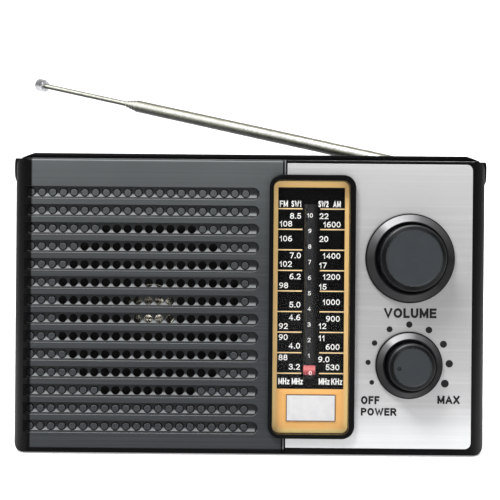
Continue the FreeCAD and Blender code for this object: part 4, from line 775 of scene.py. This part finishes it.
def dial_numerals():
    """Frequencies in four columns, their headings, the units and the 0 to 10 logging scale."""
    shape = bmesh.new()
    front_y = SCALE_LOW.y - 0.1 * MM
    for align, x, rows in COLUMNS.values():
        for words, z in rows:
            add_words(shape, words, FIGURE_HEIGHT, x * MM, (z + 0.25) * MM, front_y, align, pen=0.15)
    for row, height, z, pen in ((HEADINGS, 2.7, 108.2, 0.17), (UNITS, 2.75, 31.4, 0.165)):
        for words, left, right in row:
            width = (right - left) * MM
            add_words(shape, words, height * MM, left * MM, z * MM, front_y, width=width, pen=pen)
    for number in range(10):
        z = 35.8 + 6.744 * (10 - number)
        add_words(shape, str(10 - number), LOGGING_HEIGHT, 25.8 * MM, z * MM, front_y, "CENTER",
                  pen=0.15)
    ink = printed("numeral_white", tinted(255, 255, 255), flecks=0.03)
    new_piece("dial_numerals", finished_mesh("dial_numerals", shape), ink, "case")


def pointer_zero():
    """The last numeral of the logging scale, seen through the pointer and so carried on it."""
    shape = bmesh.new()
    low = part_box("dial_pointer")[0]
    add_words(shape, "0", LOGGING_HEIGHT, 26.4 * MM, 35.2 * MM, low.y - 0.01 * MM, "CENTER", pen=0.2)
    ink = printed("pointer_mark", tinted(246, 214, 214))
    new_piece("pointer_mark", finished_mesh("pointer_mark", shape), ink, "pointer")


# ---------------------------------------------------------------- the face plate's printing
def volume_dots():
    """Nine dots round the volume knob that grow from quiet to loud."""
    shape = bmesh.new()
    for number in range(9):
        angle = math.radians(205.5 - 29 * number)
        radius = (2.1 + 1.3 * number / 8) / 2 * MM
        x = VOLUME.x + 17.5 * MM * math.cos(angle)
        z = VOLUME.z + 17.5 * MM * math.sin(angle)
        add_slab(shape, round_loop(x, z, radius), PLATE_LOW.y - 0.06 * MM, 0.08 * MM, taper=0.05 * MM)
    ink = printed("plate_black", tinted(20, 20, 22), flecks=0.25)
    new_piece("volume_dots", finished_mesh("volume_dots", shape), ink, "case")
    return ink


def plate_labels(ink):
    """The control labels, in plain bold capitals."""
    shape = bmesh.new()
    front_y = PLATE_LOW.y - 0.05 * MM
    for words, left, right, z, height in (("VOLUME", 57.9, 80.5, 61.4, 4.2), ("OFF", 48.3, 56.3, 23.8, 3.5),
                                          ("POWER", 48.3, 63.6, 18.8, 3.3), ("MAX", 81.2, 90.8, 24.2, 3.5)):
        width = (right - left) * MM
        add_words(shape, words, height * MM, left * MM, z * MM, front_y, width=width, pen=0.235)
    new_piece("plate_labels", finished_mesh("plate_labels", shape), ink, "case")


# ---------------------------------------------------------------- stage
def stage():
    """A pale floor that curves up into a backdrop."""
    shape = bmesh.new()
    profile = [(-2.2, 0.0), (0.9, 0.0)]
    for step in range(1, 9):
        angle = math.pi / 2 * step / 8
        profile.append((0.9 + 0.5 * math.sin(angle), 0.5 - 0.5 * math.cos(angle)))
    profile.append((1.4, 3.0))
    rows = [[shape.verts.new((x, y, z - 0.0005)) for x in (-3, 3)] for y, z in profile]
    for first, second in zip(rows, rows[1:]):
        shape.faces.new((first[0], first[1], second[1], second[0]))
    mesh = finished_mesh("floor", shape)
    floor = bpy.data.objects.new("floor", mesh)
    for face in mesh.polygons:
        face.use_smooth = True
    bpy.context.scene.collection.objects.link(floor)
    finish = Finish("pale_floor")
    finish.set("Base Color", finish.blend(grey(0.9), grey(0.86), finish.noise(3)))
    finish.set("Roughness", 0.7)
    finish.set("Emission Color", grey(1.0))
    seen = finish.new("ShaderNodeLightPath").outputs["Is Camera Ray"]
    finish.set("Emission Strength", finish.spread(seen, 0, 1, 0.12, 0.4))
    use(floor, finish)


def soft_light(name, place, target, size, power, colour=(1, 1, 1)):
    data = bpy.data.lights.new(name, "AREA")
    data.shape = "RECTANGLE"
    data.size, data.size_y = size
    data.energy = power
    data.color = colour
    light = bpy.data.objects.new(name, data)
    bpy.context.scene.collection.objects.link(light)
    light.location = place
    light.rotation_euler = (Vector(target) - Vector(place)).to_track_quat("-Z", "Y").to_euler()


def lights():
    """A soft key from the upper left, weaker light from above and the right, and a pale surround."""
    soft_light("key", (-0.4, -0.6, 1.05), (0, 0, 0.06), (0.34, 0.34), 17)
    soft_light("top", (0.1, 0.15, 1.3), (0, 0, 0.1), (1.2, 0.8), 5)
    soft_light("fill", (0.9, -1.0, 0.35), (0, 0, 0.06), (0.8, 0.8), 3)
    soft_light("rear", (0.5, 1.1, 0.7), (0, 0, 0.06), (0.7, 0.7), 12)
    world = bpy.data.worlds.new("surround")
    world.use_nodes = True
    world.node_tree.nodes["Background"].inputs["Color"].default_value = (1, 1, 1, 1)
    nodes, links = world.node_tree.nodes, world.node_tree.links
    strength = nodes.new("ShaderNodeMapRange")
    strength.inputs["To Min"].default_value = 0.3
    strength.inputs["To Max"].default_value = 1.0
    links.new(nodes.new("ShaderNodeLightPath").outputs["Is Camera Ray"], strength.inputs["Value"])
    links.new(strength.outputs["Result"], nodes["Background"].inputs["Strength"])
    bpy.context.scene.world = world
    bpy.context.scene.view_settings.view_transform = "Standard"


def camera():
    """Level with the middle of the upper half, close in, straight on."""
    data = bpy.data.cameras.new("camera")
    data.sensor_width = 36
    data.lens = 71.9
    data.shift_y = 0.02
    data.clip_start = 0.01
    eye = bpy.data.objects.new("camera", data)
    bpy.context.scene.collection.objects.link(eye)
    distance, height, roll = 0.43, 83.7 * MM, math.radians(-0.5)
    eye.location = (0, FACE_Y - distance, height)
    eye.rotation_euler = (math.pi / 2, roll, 0)
    bpy.context.scene.camera = eye


finish_cad_nodes()
dial_black()
dial_lines()
dial_numerals()
pointer_zero()
plate_labels(volume_dots())
stage()
lights()
camera()
